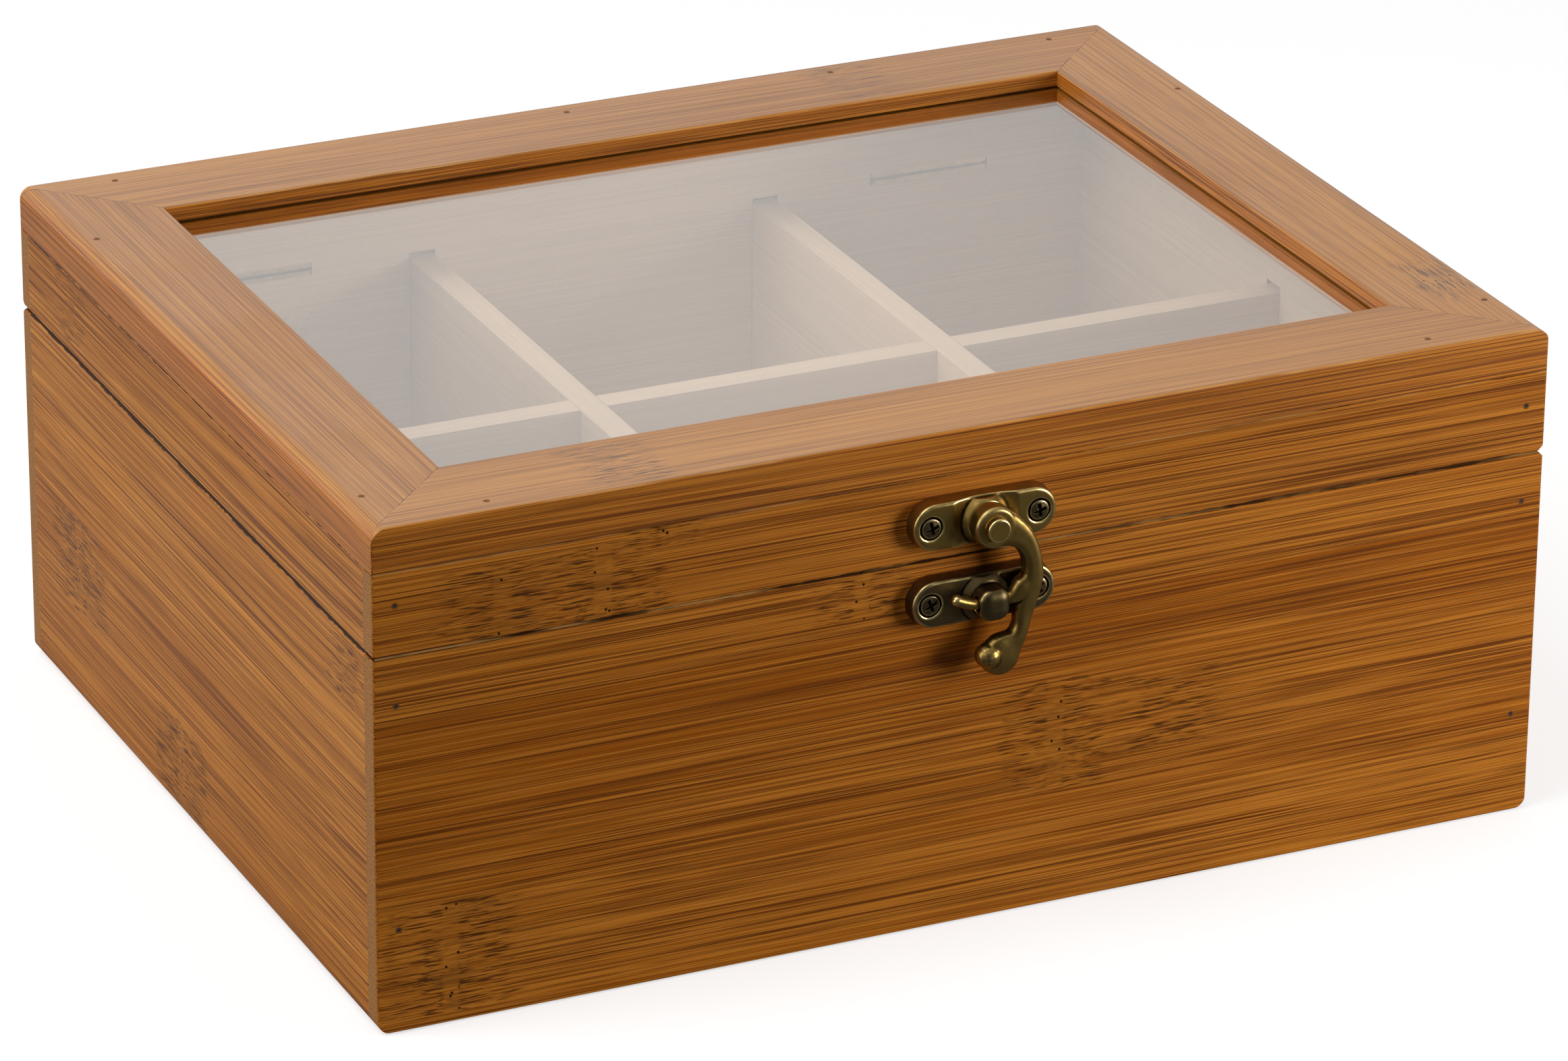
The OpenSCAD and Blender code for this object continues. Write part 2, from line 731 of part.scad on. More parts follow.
thumb_stations = [for (q = thumb_shape)
    [thumb_at[0] + q[0] * thumb_r * thumb_way[0] - q[1] * arm_scale * thumb_way[1],
     thumb_at[1] + q[0] * thumb_r * thumb_way[1] + q[1] * arm_scale * thumb_way[0],
     thumb_r * (sqrt(1 - q[0] * q[0]) + q[1] * 0.2), thumb_t / 2 * q[2], thumb_lift, q[3]]];

// The arm's run, from the hub to the thumb piece.
arm_t = hub_t / 2 - 0.04;
arm_stations = concat(drawn([
    [0.5, -0.1, 3.3, arm_t, 0, 0.4],
    [2.4, -0.9, 3.1, arm_t, 0, 0.42],
    [4.85, -2.4, 2.3, arm_t, 0, 0.48],
    [6.55, -4.75, 1.85, arm_t - 0.05, 0, 0.55],
    [7.5, -7.6, 1.72, arm_t - 0.08, 0, 0.65],
    [7.6, -10.8, 1.85, arm_t - 0.1, 0, 0.65],
    [6.85, -13.7, 1.85, arm_t - 0.1, 0, 0.65],
    [6.0, -16.5, 1.8, arm_t - 0.15, 0, 0.7],
    [5.6, -19.0, 1.5, arm_t - 0.1, 0, 0.8],
    [4.85, -21.0, 1.75, arm_t, thumb_lift / 2, 0.8]
]), thumb_stations);
function drawn(stations) = [for (s = stations)
    [s[0] * arm_scale, s[1] * arm_scale, s[2] * arm_scale, s[3], s[4], s[5]]];

// The finger: a part of a circle about the pivot, then a wider root.
finger_r = finger_d / 2;
finger_root = 12;                   // degrees from straight below, to the right
finger_steps = 8;
finger_stations = concat(
    [for (i = [0 : finger_steps]) let (a = -finger_angle + i / finger_steps * (finger_root + finger_angle))
        [finger_reach * sin(a), -finger_reach * cos(a), finger_r, finger_r, 0, 1]],
    drawn([
        [3.8, -13.75, 1.3, finger_r + 0.3, 0, 0.9], [4.9, -13.25, 1.95, arm_t - 0.25, 0, 0.75],
        [5.9, -12.5, 2.3, arm_t - 0.15, 0, 0.7], [7.2, -11.6, 2.2, arm_t - 0.15, 0, 0.7]
    ])
);
// Rounded tip: degrees beyond the first station, and the share of the radius.
finger_tip = [for (q = [[3.6, 0.35], [3, 0.66], [1.7, 0.92]])
    let (a = -finger_angle - q[0])
        [finger_reach * sin(a), -finger_reach * cos(a), finger_r * q[1], finger_r * q[1], 0, 1]];

// A smooth run through a list of stations, n steps to each.
function smooth(s, n) = [
    for (i = [0 : len(s) - 2], k = [0 : n - 1]) blend(s, i, k / n),
    s[len(s) - 1]
];
function blend(s, i, t) = let (
    b = s[i],
    c = s[i + 1],
    a = i > 0 ? s[i - 1] : 2 * b - c,
    d = i < len(s) - 2 ? s[i + 2] : 2 * c - b
) 0.5 * (2 * b + (c - a) * t + (2 * a - 5 * b + 4 * c - d) * t * t
    + (3 * b - a - 3 * c + d) * t * t * t);

// Rounded ring of a run at station i, square to the run.
function oval(v, p) = sign(v) * pow(abs(v), p);
function run_ring(run, i, sides) = let (
    fore = run[min(i + 1, len(run) - 1)],
    aft = run[max(i - 1, 0)],
    along = [fore[0] - aft[0], fore[1] - aft[1]] / norm([fore[0] - aft[0], fore[1] - aft[1]])
) [for (k = [0 : sides - 1]) let (
        a = 360 * (k + 0.5) / sides,
        out = run[i][2] * oval(cos(a), run[i][5])
    ) [run[i][0] - along[1] * out, run[i][1] + along[0] * out,
       run[i][4] + run[i][3] * oval(sin(a), run[i][5])]];

// Solid bar that follows a run.
module oval_bar(run, sides = 16) {
    n = len(run);
    polyhedron(
        points = [for (i = [0 : n - 1]) each run_ring(run, i, sides)],
        faces = concat(
            [[for (k = [0 : sides - 1]) k]],
            [for (i = [0 : n - 2], k = [0 : sides - 1]) let (j = (k + 1) % sides)
                [i * sides + j, i * sides + k, (i + 1) * sides + k]],
            [for (i = [0 : n - 2], k = [0 : sides - 1]) let (j = (k + 1) % sides)
                [i * sides + j, (i + 1) * sides + k, (i + 1) * sides + j]],
            [[for (k = [sides - 1 : -1 : 0]) (n - 1) * sides + k]]
        ),
        convexity = 6
    );
}

// The hub: a disc whose edges are broken by two cones each.
module hub_disc() {
    ends = [
        [0, hub_r - hub_edge], [hub_edge * 0.27, hub_r - hub_edge * 0.44], [hub_edge, hub_r]
    ];
    for (m = [0, 1]) mirror([0, 0, m]) {
        cylinder(r = hub_r, h = hub_t / 2 - ends[2][0]);
        for (i = [0, 1]) translate([0, 0, hub_t / 2 - ends[i + 1][0]])
            cylinder(r1 = ends[i + 1][1], r2 = ends[i][1], h = ends[i + 1][0] - ends[i][0]);
    }
}

module latch_arm() {
    color(brass_old) on_front(latch_z) translate([0, 0, arm_mid]) difference() {
        union() {
            hub_disc();
            oval_bar(smooth(arm_stations, 3));
            oval_bar(concat(finger_tip, finger_stations));
            oval_bar(ball_stations);
        }
        cylinder(r = rivet_d / 2 + turn_fit, h = 2 * hub_t, center = true);
    }
}

// The eye: a soft-cornered post with a slot through it for the finger.
module eye_post() {
    corner = eye_w * 0.36;
    front = eye_w * 0.22;
    difference() {
        hull() for (x = [-1, 1], y = [-1, 1])
            translate([x * (eye_w / 2 - corner), y * (eye_h / 2 - corner), 0]) {
                cylinder(r = corner, h = plate_t / 3, $fn = 32);
                translate([0, 0, eye_out - front]) scale([1, 1, front / corner])
                    sphere(corner, $fn = 32);
            }
        for (y = [-1, 1]) translate([0, y * finger_sag / 2, arm_mid]) eye_bore();
        translate([0, 0, arm_mid])
            cube([eye_w + cut, finger_sag, 2 * (finger_r + eye_fit)], center = true);
    }
}
module eye_bore() { along_x(finger_r + eye_fit, eye_w + cut); }

module keeper_plate() {
    slot_low = arm_mid - finger_r - eye_fit;
    color(brass_old) difference() {
        on_front(keeper_z) {
            plate_blank();
            plate_rise(plate_t - bevel, slot_low - bevel / 2, eye_h * 0.85, eye_h * 0.58);
            eye_post();
        }
        at_keeper_screws() plate_screw_hole();
    }
}
module keeper_screws() { color(steel) at_keeper_screws() plate_screw(); }

// ---------- Parts ----------
front_panel();
back_panel();
left_panel();
right_panel();
bottom_board();
long_divider();
cross_divider_left();
cross_divider_right();
body_brads();
lid_front_wall();
lid_back_wall();
lid_left_wall();
lid_right_wall();
front_rail();
back_rail();
left_rail();
right_rail();
glass_pane();
lid_wall_brads();
rail_brads();
hinge_leaf_body_left();
hinge_leaf_body_right();
hinge_leaf_lid_left();
hinge_leaf_lid_right();
hinge_pins();
hinge_screws_body();
hinge_screws_lid();
latch_plate();
latch_plate_screws();
latch_rivet();
latch_arm();
keeper_plate();
keeper_screws();
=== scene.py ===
"""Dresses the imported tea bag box: bamboo, glass, brads, hinges and a cast swing latch.

Every length in this file is in metres unless its name ends in _mm.
"""
from __future__ import annotations

import logging
import math
from dataclasses import dataclass
from enum import Enum
from typing import Callable, Mapping, Sequence, Union

import bmesh
import bpy
import numpy as np
from bpy.types import Material, Mesh, Node, NodeTree, Object
from bpy.types import NodeSocket as Socket
from mathutils import Matrix, Vector


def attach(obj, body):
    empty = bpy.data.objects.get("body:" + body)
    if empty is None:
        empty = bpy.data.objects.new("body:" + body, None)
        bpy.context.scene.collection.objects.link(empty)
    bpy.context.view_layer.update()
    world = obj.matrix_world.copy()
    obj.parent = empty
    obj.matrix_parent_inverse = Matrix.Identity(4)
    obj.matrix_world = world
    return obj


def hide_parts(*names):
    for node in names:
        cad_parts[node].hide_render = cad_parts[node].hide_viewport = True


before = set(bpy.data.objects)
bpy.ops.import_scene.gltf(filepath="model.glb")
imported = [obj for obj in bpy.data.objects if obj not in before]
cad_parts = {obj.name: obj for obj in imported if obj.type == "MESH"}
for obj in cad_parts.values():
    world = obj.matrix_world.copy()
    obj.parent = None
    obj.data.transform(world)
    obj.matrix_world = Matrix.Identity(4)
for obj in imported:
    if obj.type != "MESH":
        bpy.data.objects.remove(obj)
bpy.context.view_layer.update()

LOG = logging.getLogger("tea_box")
Triple = tuple[float, float, float]
Colour = Triple
Value = Union[Socket, float, Triple]
Inputs = Mapping[Union[str, int], Value]

MM = 0.001
ORIGIN = (0.0, 0.0, 0.0)
WHITE = (1.0, 1.0, 1.0)

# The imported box: its outer faces, its walls, and the heights of its joints and top.
HALF_WIDTH = 110 * MM
HALF_DEPTH = 85 * MM
WALL = 8 * MM
BRAD_IN = WALL / 2
SPLIT = 69 * MM
GLUE = 84 * MM
TOP = 92 * MM


class Grain(Enum):
    """Which way the fibres of a board run, as the turn that lays them along X."""

    ALONG_X = 0.0
    ALONG_Y = -90.0


class Side(Enum):
    """Which way a fastener's face looks, as the turn about X that takes +Z there."""

    FRONT = 90.0
    BACK = -90.0
    UP = 0.0
    DOWN = 180.0


# ---------- Node trees ----------


class Graph:
    """Short calls that add and join the nodes of one tree."""

    def __init__(self, tree: NodeTree) -> None:
        """Takes over a tree.

        Args:
            tree: The node tree to write in.
        """
        self.tree = tree

    def fill(self, node: Node, inputs: Inputs) -> None:
        """Sets or joins a node's inputs.

        Args:
            node: The node.
            inputs: Socket name or index to a value, or to a socket to join.
        """
        for name, value in inputs.items():
            socket = node.inputs[name]
            if isinstance(value, Socket):
                self.tree.links.new(value, socket)
            elif socket.type == "RGBA":
                socket.default_value = (*value, 1.0)
            else:
                socket.default_value = value

    def add(self, kind: str, inputs: Inputs | None = None, **settings: object) -> Node:
        """Adds a node.

        Args:
            kind: The node's type, such as "ShaderNodeMath".
            inputs: Socket name or index to a value, or to a socket to join.
            **settings: Attributes of the node, set before its inputs.

        Returns:
            The new node.
        """
        node = self.tree.nodes.new(kind)
        for name, value in settings.items():
            setattr(node, name, value)
        self.fill(node, inputs or {})
        return node

    def place(self, group: NodeTree, inputs: Inputs) -> Mapping[str, Socket]:
        """Places a node group with its own values and gives its outputs."""
        return self.add("ShaderNodeGroup", inputs, node_tree=group).outputs

    def math(self, operation: str, a: Value, b: Value = 0.0, clamp: bool = False) -> Socket:
        """One Math node's result."""
        return self.add(
            "ShaderNodeMath", {0: a, 1: b}, operation=operation, use_clamp=clamp
        ).outputs[0]

    def times(self, a: Value, b: Value, clamp: bool = False) -> Socket:
        """a multiplied by b."""
        return self.math("MULTIPLY", a, b, clamp)

    def plus(self, a: Value, b: Value, clamp: bool = False) -> Socket:
        """a and b together."""
        return self.math("ADD", a, b, clamp)

    def minus(self, a: Value, b: Value) -> Socket:
        """a less b."""
        return self.math("SUBTRACT", a, b)

    def over(self, a: Value, b: Value) -> Socket:
        """a divided by b."""
        return self.math("DIVIDE", a, b)

    def most(self, a: Value, b: Value) -> Socket:
        """The larger of a and b."""
        return self.math("MAXIMUM", a, b)

    def size(self, a: Value) -> Socket:
        """a without its sign."""
        return self.math("ABSOLUTE", a)

    def swing(self, value: Value, amount: Value) -> Socket:
        """A value about 0.5 made one about 0, times an amount."""
        return self.times(self.minus(value, 0.5), amount)

    def vector(self, operation: str, a: Value, b: Value = ORIGIN) -> Socket:
        """One Vector Math node's vector."""
        return self.add("ShaderNodeVectorMath", {0: a, 1: b}, operation=operation).outputs[0]

    def parts(self, vector: Value) -> Sequence[Socket]:
        """The X, Y and Z of a vector."""
        return self.add("ShaderNodeSeparateXYZ", {0: vector}).outputs

    def joined(self, x: Value = 0.0, y: Value = 0.0, z: Value = 0.0) -> Socket:
        """The vector of an X, a Y and a Z."""
        return self.add("ShaderNodeCombineXYZ", {0: x, 1: y, 2: z}).outputs[0]

    def ramp(
        self, value: Value, low: float, high: float, start: float = 0.0, end: float = 1.0
    ) -> Socket:
        """A smooth step from start to end, as value goes from low to high.

        Args:
            value: The socket that drives the step.
            low: Where the step begins.
            high: Where it ends.
            start: The result below low.
            end: The result above high.

        Returns:
            The result's socket.
        """
        return self.add(
            "ShaderNodeMapRange",
            {"Value": value, "From Min": low, "From Max": high, "To Min": start, "To Max": end},
            interpolation_type="SMOOTHSTEP",
        ).outputs["Result"]

    def noise(
        self, vector: Value, scale: float | Triple = 1.0, detail: float = 2.0, rough: float = 0.5
    ) -> Socket:
        """One noise texture's value, about 0.5 on average.

        Args:
            vector: The place.
            scale: One scale, or one for each axis.
            detail: How many finer layers are added.
            rough: How much each finer layer counts.

        Returns:
            The value's socket.
        """
        if isinstance(scale, tuple):
            vector, scale = self.vector("MULTIPLY", vector, scale), 1.0
        return self.add(
            "ShaderNodeTexNoise",
            {"Vector": vector, "Scale": scale, "Detail": detail, "Roughness": rough},
        ).outputs["Fac"]

    def mix(self, factor: Value, a: Value, b: Value) -> Socket:
        """Colour a going to colour b as factor goes from 0 to 1."""
        return self.add(
            "ShaderNodeMix", {0: factor, 6: a, 7: b}, data_type="RGBA", clamp_factor=True
        ).outputs[2]

    def bump(self, height: Value, strength: float, depth: float) -> Socket:
        """The normals of a surface that a height makes uneven."""
        return self.add(
            "ShaderNodeBump", {"Height": height, "Strength": strength, "Distance": depth}
        ).outputs[0]

    def attribute(self, name: str) -> Socket:
        """A number that the mesh holds under a name."""
        return self.add("ShaderNodeAttribute", attribute_name=name).outputs["Fac"]


def new_group(
    name: str, inputs: Mapping[str, float | Sequence[float]], outputs: Sequence[str],
    colours: Sequence[str] = (),
) -> tuple[Graph, dict[str, Socket], Node]:
    """Starts a shader node group.

    Args:
        name: The group's name.
        inputs: Name to default: a number, three for a vector or four for a colour.
        outputs: Names of the outputs that are numbers.
        colours: Names of the outputs that are colours.

    Returns:
        A Graph on the group, its inputs' sockets by name, and its output node.
    """
    tree = bpy.data.node_groups.new(name, "ShaderNodeTree")
    for label, default in inputs.items():
        count = 1 if isinstance(default, float) else len(default)
        kind = {1: "NodeSocketFloat", 3: "NodeSocketVector", 4: "NodeSocketColor"}[count]
        socket = tree.interface.new_socket(name=label, in_out="INPUT", socket_type=kind)
        socket.default_value = default
    for labels, kind in ((outputs, "NodeSocketFloat"), (colours, "NodeSocketColor")):
        for label in labels:
            tree.interface.new_socket(name=label, in_out="OUTPUT", socket_type=kind)
    start = tree.nodes.new("NodeGroupInput")
    end = tree.nodes.new("NodeGroupOutput")
    return Graph(tree), {s.name: s for s in start.outputs if s.name}, end


class ShaderLibrary:
    """The effects that more than one material uses, each built once."""

    def __init__(self) -> None:
        """Builds every group."""
        self.fibres = self._fibres()
        self.knuckle = self._knuckle()
        self.joints = self._joints()
        self.patina = self._patina()
        self.wipe = self._wipe()

    @staticmethod
    def _fibres() -> NodeTree:
        """Bamboo's fibres along X: thin dark bundles, streaks and the strips' tones.

        Returns:
            The node group.
        """
        g, given, end = new_group(
            "Bamboo Fibres",
            {"Vector": ORIGIN, "Seed": 0.0, "Strip": 21 * MM, "Knuckle": 0.0, "Ring": 0.0},
            ("Lines", "Glints", "Dashes", "Pits", "Tone", "Height", "Smear"),
        )
        seed, knuckle, ring = given["Seed"], given["Knuckle"], given["Ring"]
        shift = g.joined(g.times(seed, 0.731), g.times(seed, 0.213), g.times(seed, 0.117))
        place = g.vector("ADD", given["Vector"], shift)
        # the fibres wander sideways, and twist more at a knuckle
        wander = g.swing(g.noise(place, (3.0, 9.0, 9.0), 1.0), 2.2 * MM)
        twist = g.swing(g.noise(place, (110.0, 150.0, 150.0), 1.0), 0.9 * MM)
        wander = g.plus(wander, g.times(twist, knuckle))
        bent = g.vector("ADD", place, g.joined(y=wander, z=wander))
        streak = g.noise(bent, (8.0, 3100.0, 3100.0), 3.0, 0.9)
        hair = g.noise(bent, (20.0, 7000.0, 7000.0), 1.0, 0.7)
        bundle = g.noise(bent, (9.0, 2900.0, 2900.0), 2.0, 0.7)
        cluster = g.noise(bent, (5.0, 640.0, 640.0), 1.0)
        broad = g.noise(bent, (4.0, 60.0, 60.0))
        # where bundles stand close together, more of the noise passes the threshold
        crowd = g.swing(cluster, 0.22)
        lines = g.ramp(g.plus(bundle, crowd), 0.53, 0.63)
        fine = g.ramp(g.plus(hair, g.times(crowd, 0.5)), 0.50, 0.62)
        lines = g.most(lines, g.times(fine, 0.7))
        glints = g.ramp(g.minus(g.times(g.plus(bundle, hair), 0.5), crowd), 0.46, 0.36)
        # at a knuckle the long lines stop and short dashes take their place
        lines = g.times(lines, g.minus(1.0, g.times(knuckle, 0.85, clamp=True)))
        chopped = g.plus(g.noise(bent, (150.0, 3500.0, 3500.0), 2.0, 0.6), g.swing(knuckle, 0.04))
        dashes = g.times(g.ramp(chopped, 0.515, 0.60), g.ramp(knuckle, 0.02, 0.25))
        dashes = g.times(dashes, g.minus(1.0, g.times(ring, 0.6)))
        smear = g.times(g.ramp(g.noise(bent, (90.0, 330.0, 330.0), 1.0), 0.46, 0.66), knuckle)
        # a knuckle's ring is pitted
        x, y, z = g.parts(place)
        cells = g.add(
            "ShaderNodeTexVoronoi",
            {"Vector": g.joined(g.times(x, 330.0), g.times(g.plus(y, z), 300.0)),
             "Scale": 1.0, "Randomness": 1.0},
            voronoi_dimensions="2D",
        ).outputs["Distance"]
        pits = g.times(g.ramp(cells, 0.11, 0.05), g.ramp(ring, 0.3, 0.6))
        # a board is glued from strips, each with a tone of its own
        row = g.math("FLOOR", g.over(z, given["Strip"]))
        strip = g.add(
            "ShaderNodeTexWhiteNoise", {"W": g.plus(row, seed)}, noise_dimensions="1D"
        ).outputs["Value"]
        tone = g.plus(g.times(broad, 0.75), g.times(strip, 0.25))
        g.fill(end, {
            "Lines": lines, "Glints": glints, "Dashes": dashes, "Pits": pits, "Smear": smear,
            "Tone": g.plus(tone, g.swing(streak, 2.5)),
            "Height": g.minus(1.0, g.plus(g.times(lines, 0.6), g.times(pits, 2.0))),
        })
        return g.tree

    @staticmethod
    def _knuckle() -> NodeTree:
        """Where one knuckle of the cane lies: 1 at its ring, fading along the fibres.

        Returns:
            The node group.
        """
        g, given, end = new_group(
            "Bamboo Knuckle",
            {"Vector": ORIGIN, "Centre": ORIGIN, "Reach": 12 * MM, "Half Strip": 10 * MM,
             "Strength": 1.0},
            ("Mask", "Ring"),
        )
        ragged = g.swing(g.noise(given["Vector"], (60.0, 420.0, 420.0), 1.0), 9.0 * MM)
        away = g.vector("SUBTRACT", given["Vector"], given["Centre"])
        x, y, z = g.parts(g.vector("ABSOLUTE", away))
        along = g.over(g.plus(x, ragged), given["Reach"])
        across = g.over(g.most(y, z), given["Half Strip"])
        mask = g.times(g.ramp(along, 1.0, 0.0), g.ramp(across, 1.05, 0.85))
        wobble = g.plus(x, g.times(ragged, 0.12))
        ring = g.times(g.ramp(wobble, 2.0 * MM, 1.1 * MM), g.ramp(across, 1.0, 0.9))
        g.fill(end, {
            "Mask": g.times(mask, given["Strength"], clamp=True),
            "Ring": g.times(ring, given["Strength"], clamp=True),
        })
        return g.tree

    @staticmethod
    def _joints() -> NodeTree:
        """Thin dark lines of the mitres and the glue line, painted shade along the split, and paler
        arrises of wear with a painted highlight.

        Returns:
            The node group.
        """
        g, given, end = new_group(
            "Joint Lines",
            {"Vector": ORIGIN, "Normal": (0.0, -1.0, 0.0),
             "Corner": (HALF_WIDTH, HALF_DEPTH, GLUE), "Width": 0.20 * MM, "Mitred": 1.0,
             "Split": SPLIT, "Split Shade Width": 0.22 * MM},
            ("Mask", "Wear And Highlight"),
        )
        place, normal = given["Vector"], given["Normal"]
        x, y, z = g.parts(g.vector("SUBTRACT", given["Corner"], g.vector("ABSOLUTE", place)))
        ragged = g.noise(place, 300.0)
        width = g.times(given["Width"], g.ramp(ragged, 0.3, 0.7, 0.6, 2.2))
        broken = g.ramp(ragged, 0.25, 0.55, 0.35, 1.0)
        mitre = g.ramp(g.over(g.size(g.minus(x, y)), width), 1.0, 0.3)
        mitre = g.times(g.times(mitre, given["Mitred"]), broken)
        glue = g.times(g.ramp(g.over(g.size(z), width), 1.0, 0.3), broken)
        # the split between lid and body gets a thin dark line of painted shade, as in a deep crack
        half = g.times(given["Split Shade Width"], g.ramp(ragged, 0.3, 0.7, 0.8, 1.3))
        split = g.over(g.size(g.minus(g.parts(place)[2], given["Split"])), half)
        # the glue line and the split show on upright faces alone
        level = g.size(g.parts(normal)[2])
        lines = g.most(g.ramp(split, 1.3, 0.8), glue)
        lines = g.times(lines, g.ramp(level, 0.92, 0.80))
        # arrises facing up and out turn paler: partly wear, partly a painted highlight
        _, aside, above = g.parts(g.vector("MULTIPLY", normal, normal))
        arris = g.ramp(g.times(aside, above), 0.08, 0.20)
        rubbed = g.ramp(g.noise(place, (60.0, 300.0, 300.0)), 0.42, 0.62)
        g.fill(end, {
            "Mask": g.most(mitre, lines), "Wear And Highlight": g.times(g.times(arris, rubbed), 0.6),
        })
        return g.tree

    @staticmethod
    def _patina() -> NodeTree:
        """Antiqued metal: dark in the hollows, rubbed bright where it stands out.

        Returns:
            The node group.
        """
        g, given, end = new_group(
            "Antique Patina",
            {"Vector": ORIGIN, "Curve": 0.0, "Rise": 0.5, "Hollow": (0.03, 0.024, 0.012, 1.0),
             "Face": (0.2, 0.16, 0.08, 1.0), "Rubbed": (0.7, 0.55, 0.26, 1.0)},
            ("Roughness", "Height"), colours=("Color",),
        )
        place, hollow, face = given["Vector"], given["Hollow"], given["Face"]
        cloud = g.noise(place, 420.0, 3.0, 0.6)
        grit = g.noise(place, 5200.0, 2.0, 0.6)
        specks = g.ramp(g.noise(place, 3400.0, 1.0), 0.74, 0.80)
        edge = g.plus(given["Curve"], g.swing(cloud, 0.5))
        rubbed = g.ramp(edge, 0.30, 1.15)
        low = g.ramp(given["Rise"], 0.47, 0.12)
        dark = g.most(g.ramp(edge, -0.02, -0.55), g.times(low, 0.85))
        tint = g.mix(g.ramp(cloud, 0.35, 0.65), face, g.mix(0.35, face, hollow))
        tint = g.mix(dark, tint, hollow)
        rough = g.plus(g.ramp(cloud, 0.3, 0.7, 0.30, 0.42), g.times(dark, 0.08))
        g.fill(end, {
            "Color": g.mix(g.most(rubbed, g.times(specks, 0.5)), tint, given["Rubbed"]),
            "Roughness": g.minus(rough, g.times(rubbed, 0.10)),
            "Height": g.plus(g.times(cloud, 0.7), g.times(grit, 0.3)),
        })
        return g.tree

    @staticmethod
    def _wipe() -> NodeTree:
        """Faint smears and dust that change how rough a smooth surface looks.

        Returns:
            The node group.
        """
        g, given, end = new_group(
            "Smears", {"Vector": ORIGIN, "Clean": 0.02, "Smeared": 0.12}, ("Roughness", "Dust")
        )
        swept = g.ramp(g.noise(given["Vector"], (14.0, 46.0, 46.0), 3.0, 0.6), 0.45, 0.75)
        span = g.minus(given["Smeared"], given["Clean"])
        g.fill(end, {
            "Roughness": g.plus(given["Clean"], g.times(swept, span)),
            "Dust": g.ramp(g.noise(given["Vector"], 900.0, 2.0, 0.7), 0.66, 0.8),
        })
        return g.tree


def new_material(name: str) -> tuple[Material, Graph, Node]:
    """Starts a material with one Principled BSDF.

    Args:
        name: The material's name.

    Returns:
        The material, a Graph on its tree, and the shader node.
    """
    material = bpy.data.materials.new(name)
    material.use_nodes = True
    tree = material.node_tree
    return material, Graph(tree), tree.nodes["Principled BSDF"]


def toned(colour: Colour, share: float) -> Colour:
    """A colour times a share, which is under 1 for a darker one."""
    return tuple(share * part for part in colour)


# ---------- Finishes ----------


@dataclass(frozen=True)
class Knuckle:
    """One knuckle of the cane as it shows on a face, in millimetres."""

    x_mm: float
    y_mm: float
    z_mm: float
    reach_mm: float = 12.0
    half_mm: float = 10.0
    strength: float = 1.0

    def centre(self, grain: Grain) -> Triple:
        """The place in the turned frame, where the fibres run along X."""
        x, y, z = self.x_mm * MM, self.y_mm * MM, self.z_mm * MM
        return (y, -x, z) if grain is Grain.ALONG_Y else (x, y, z)


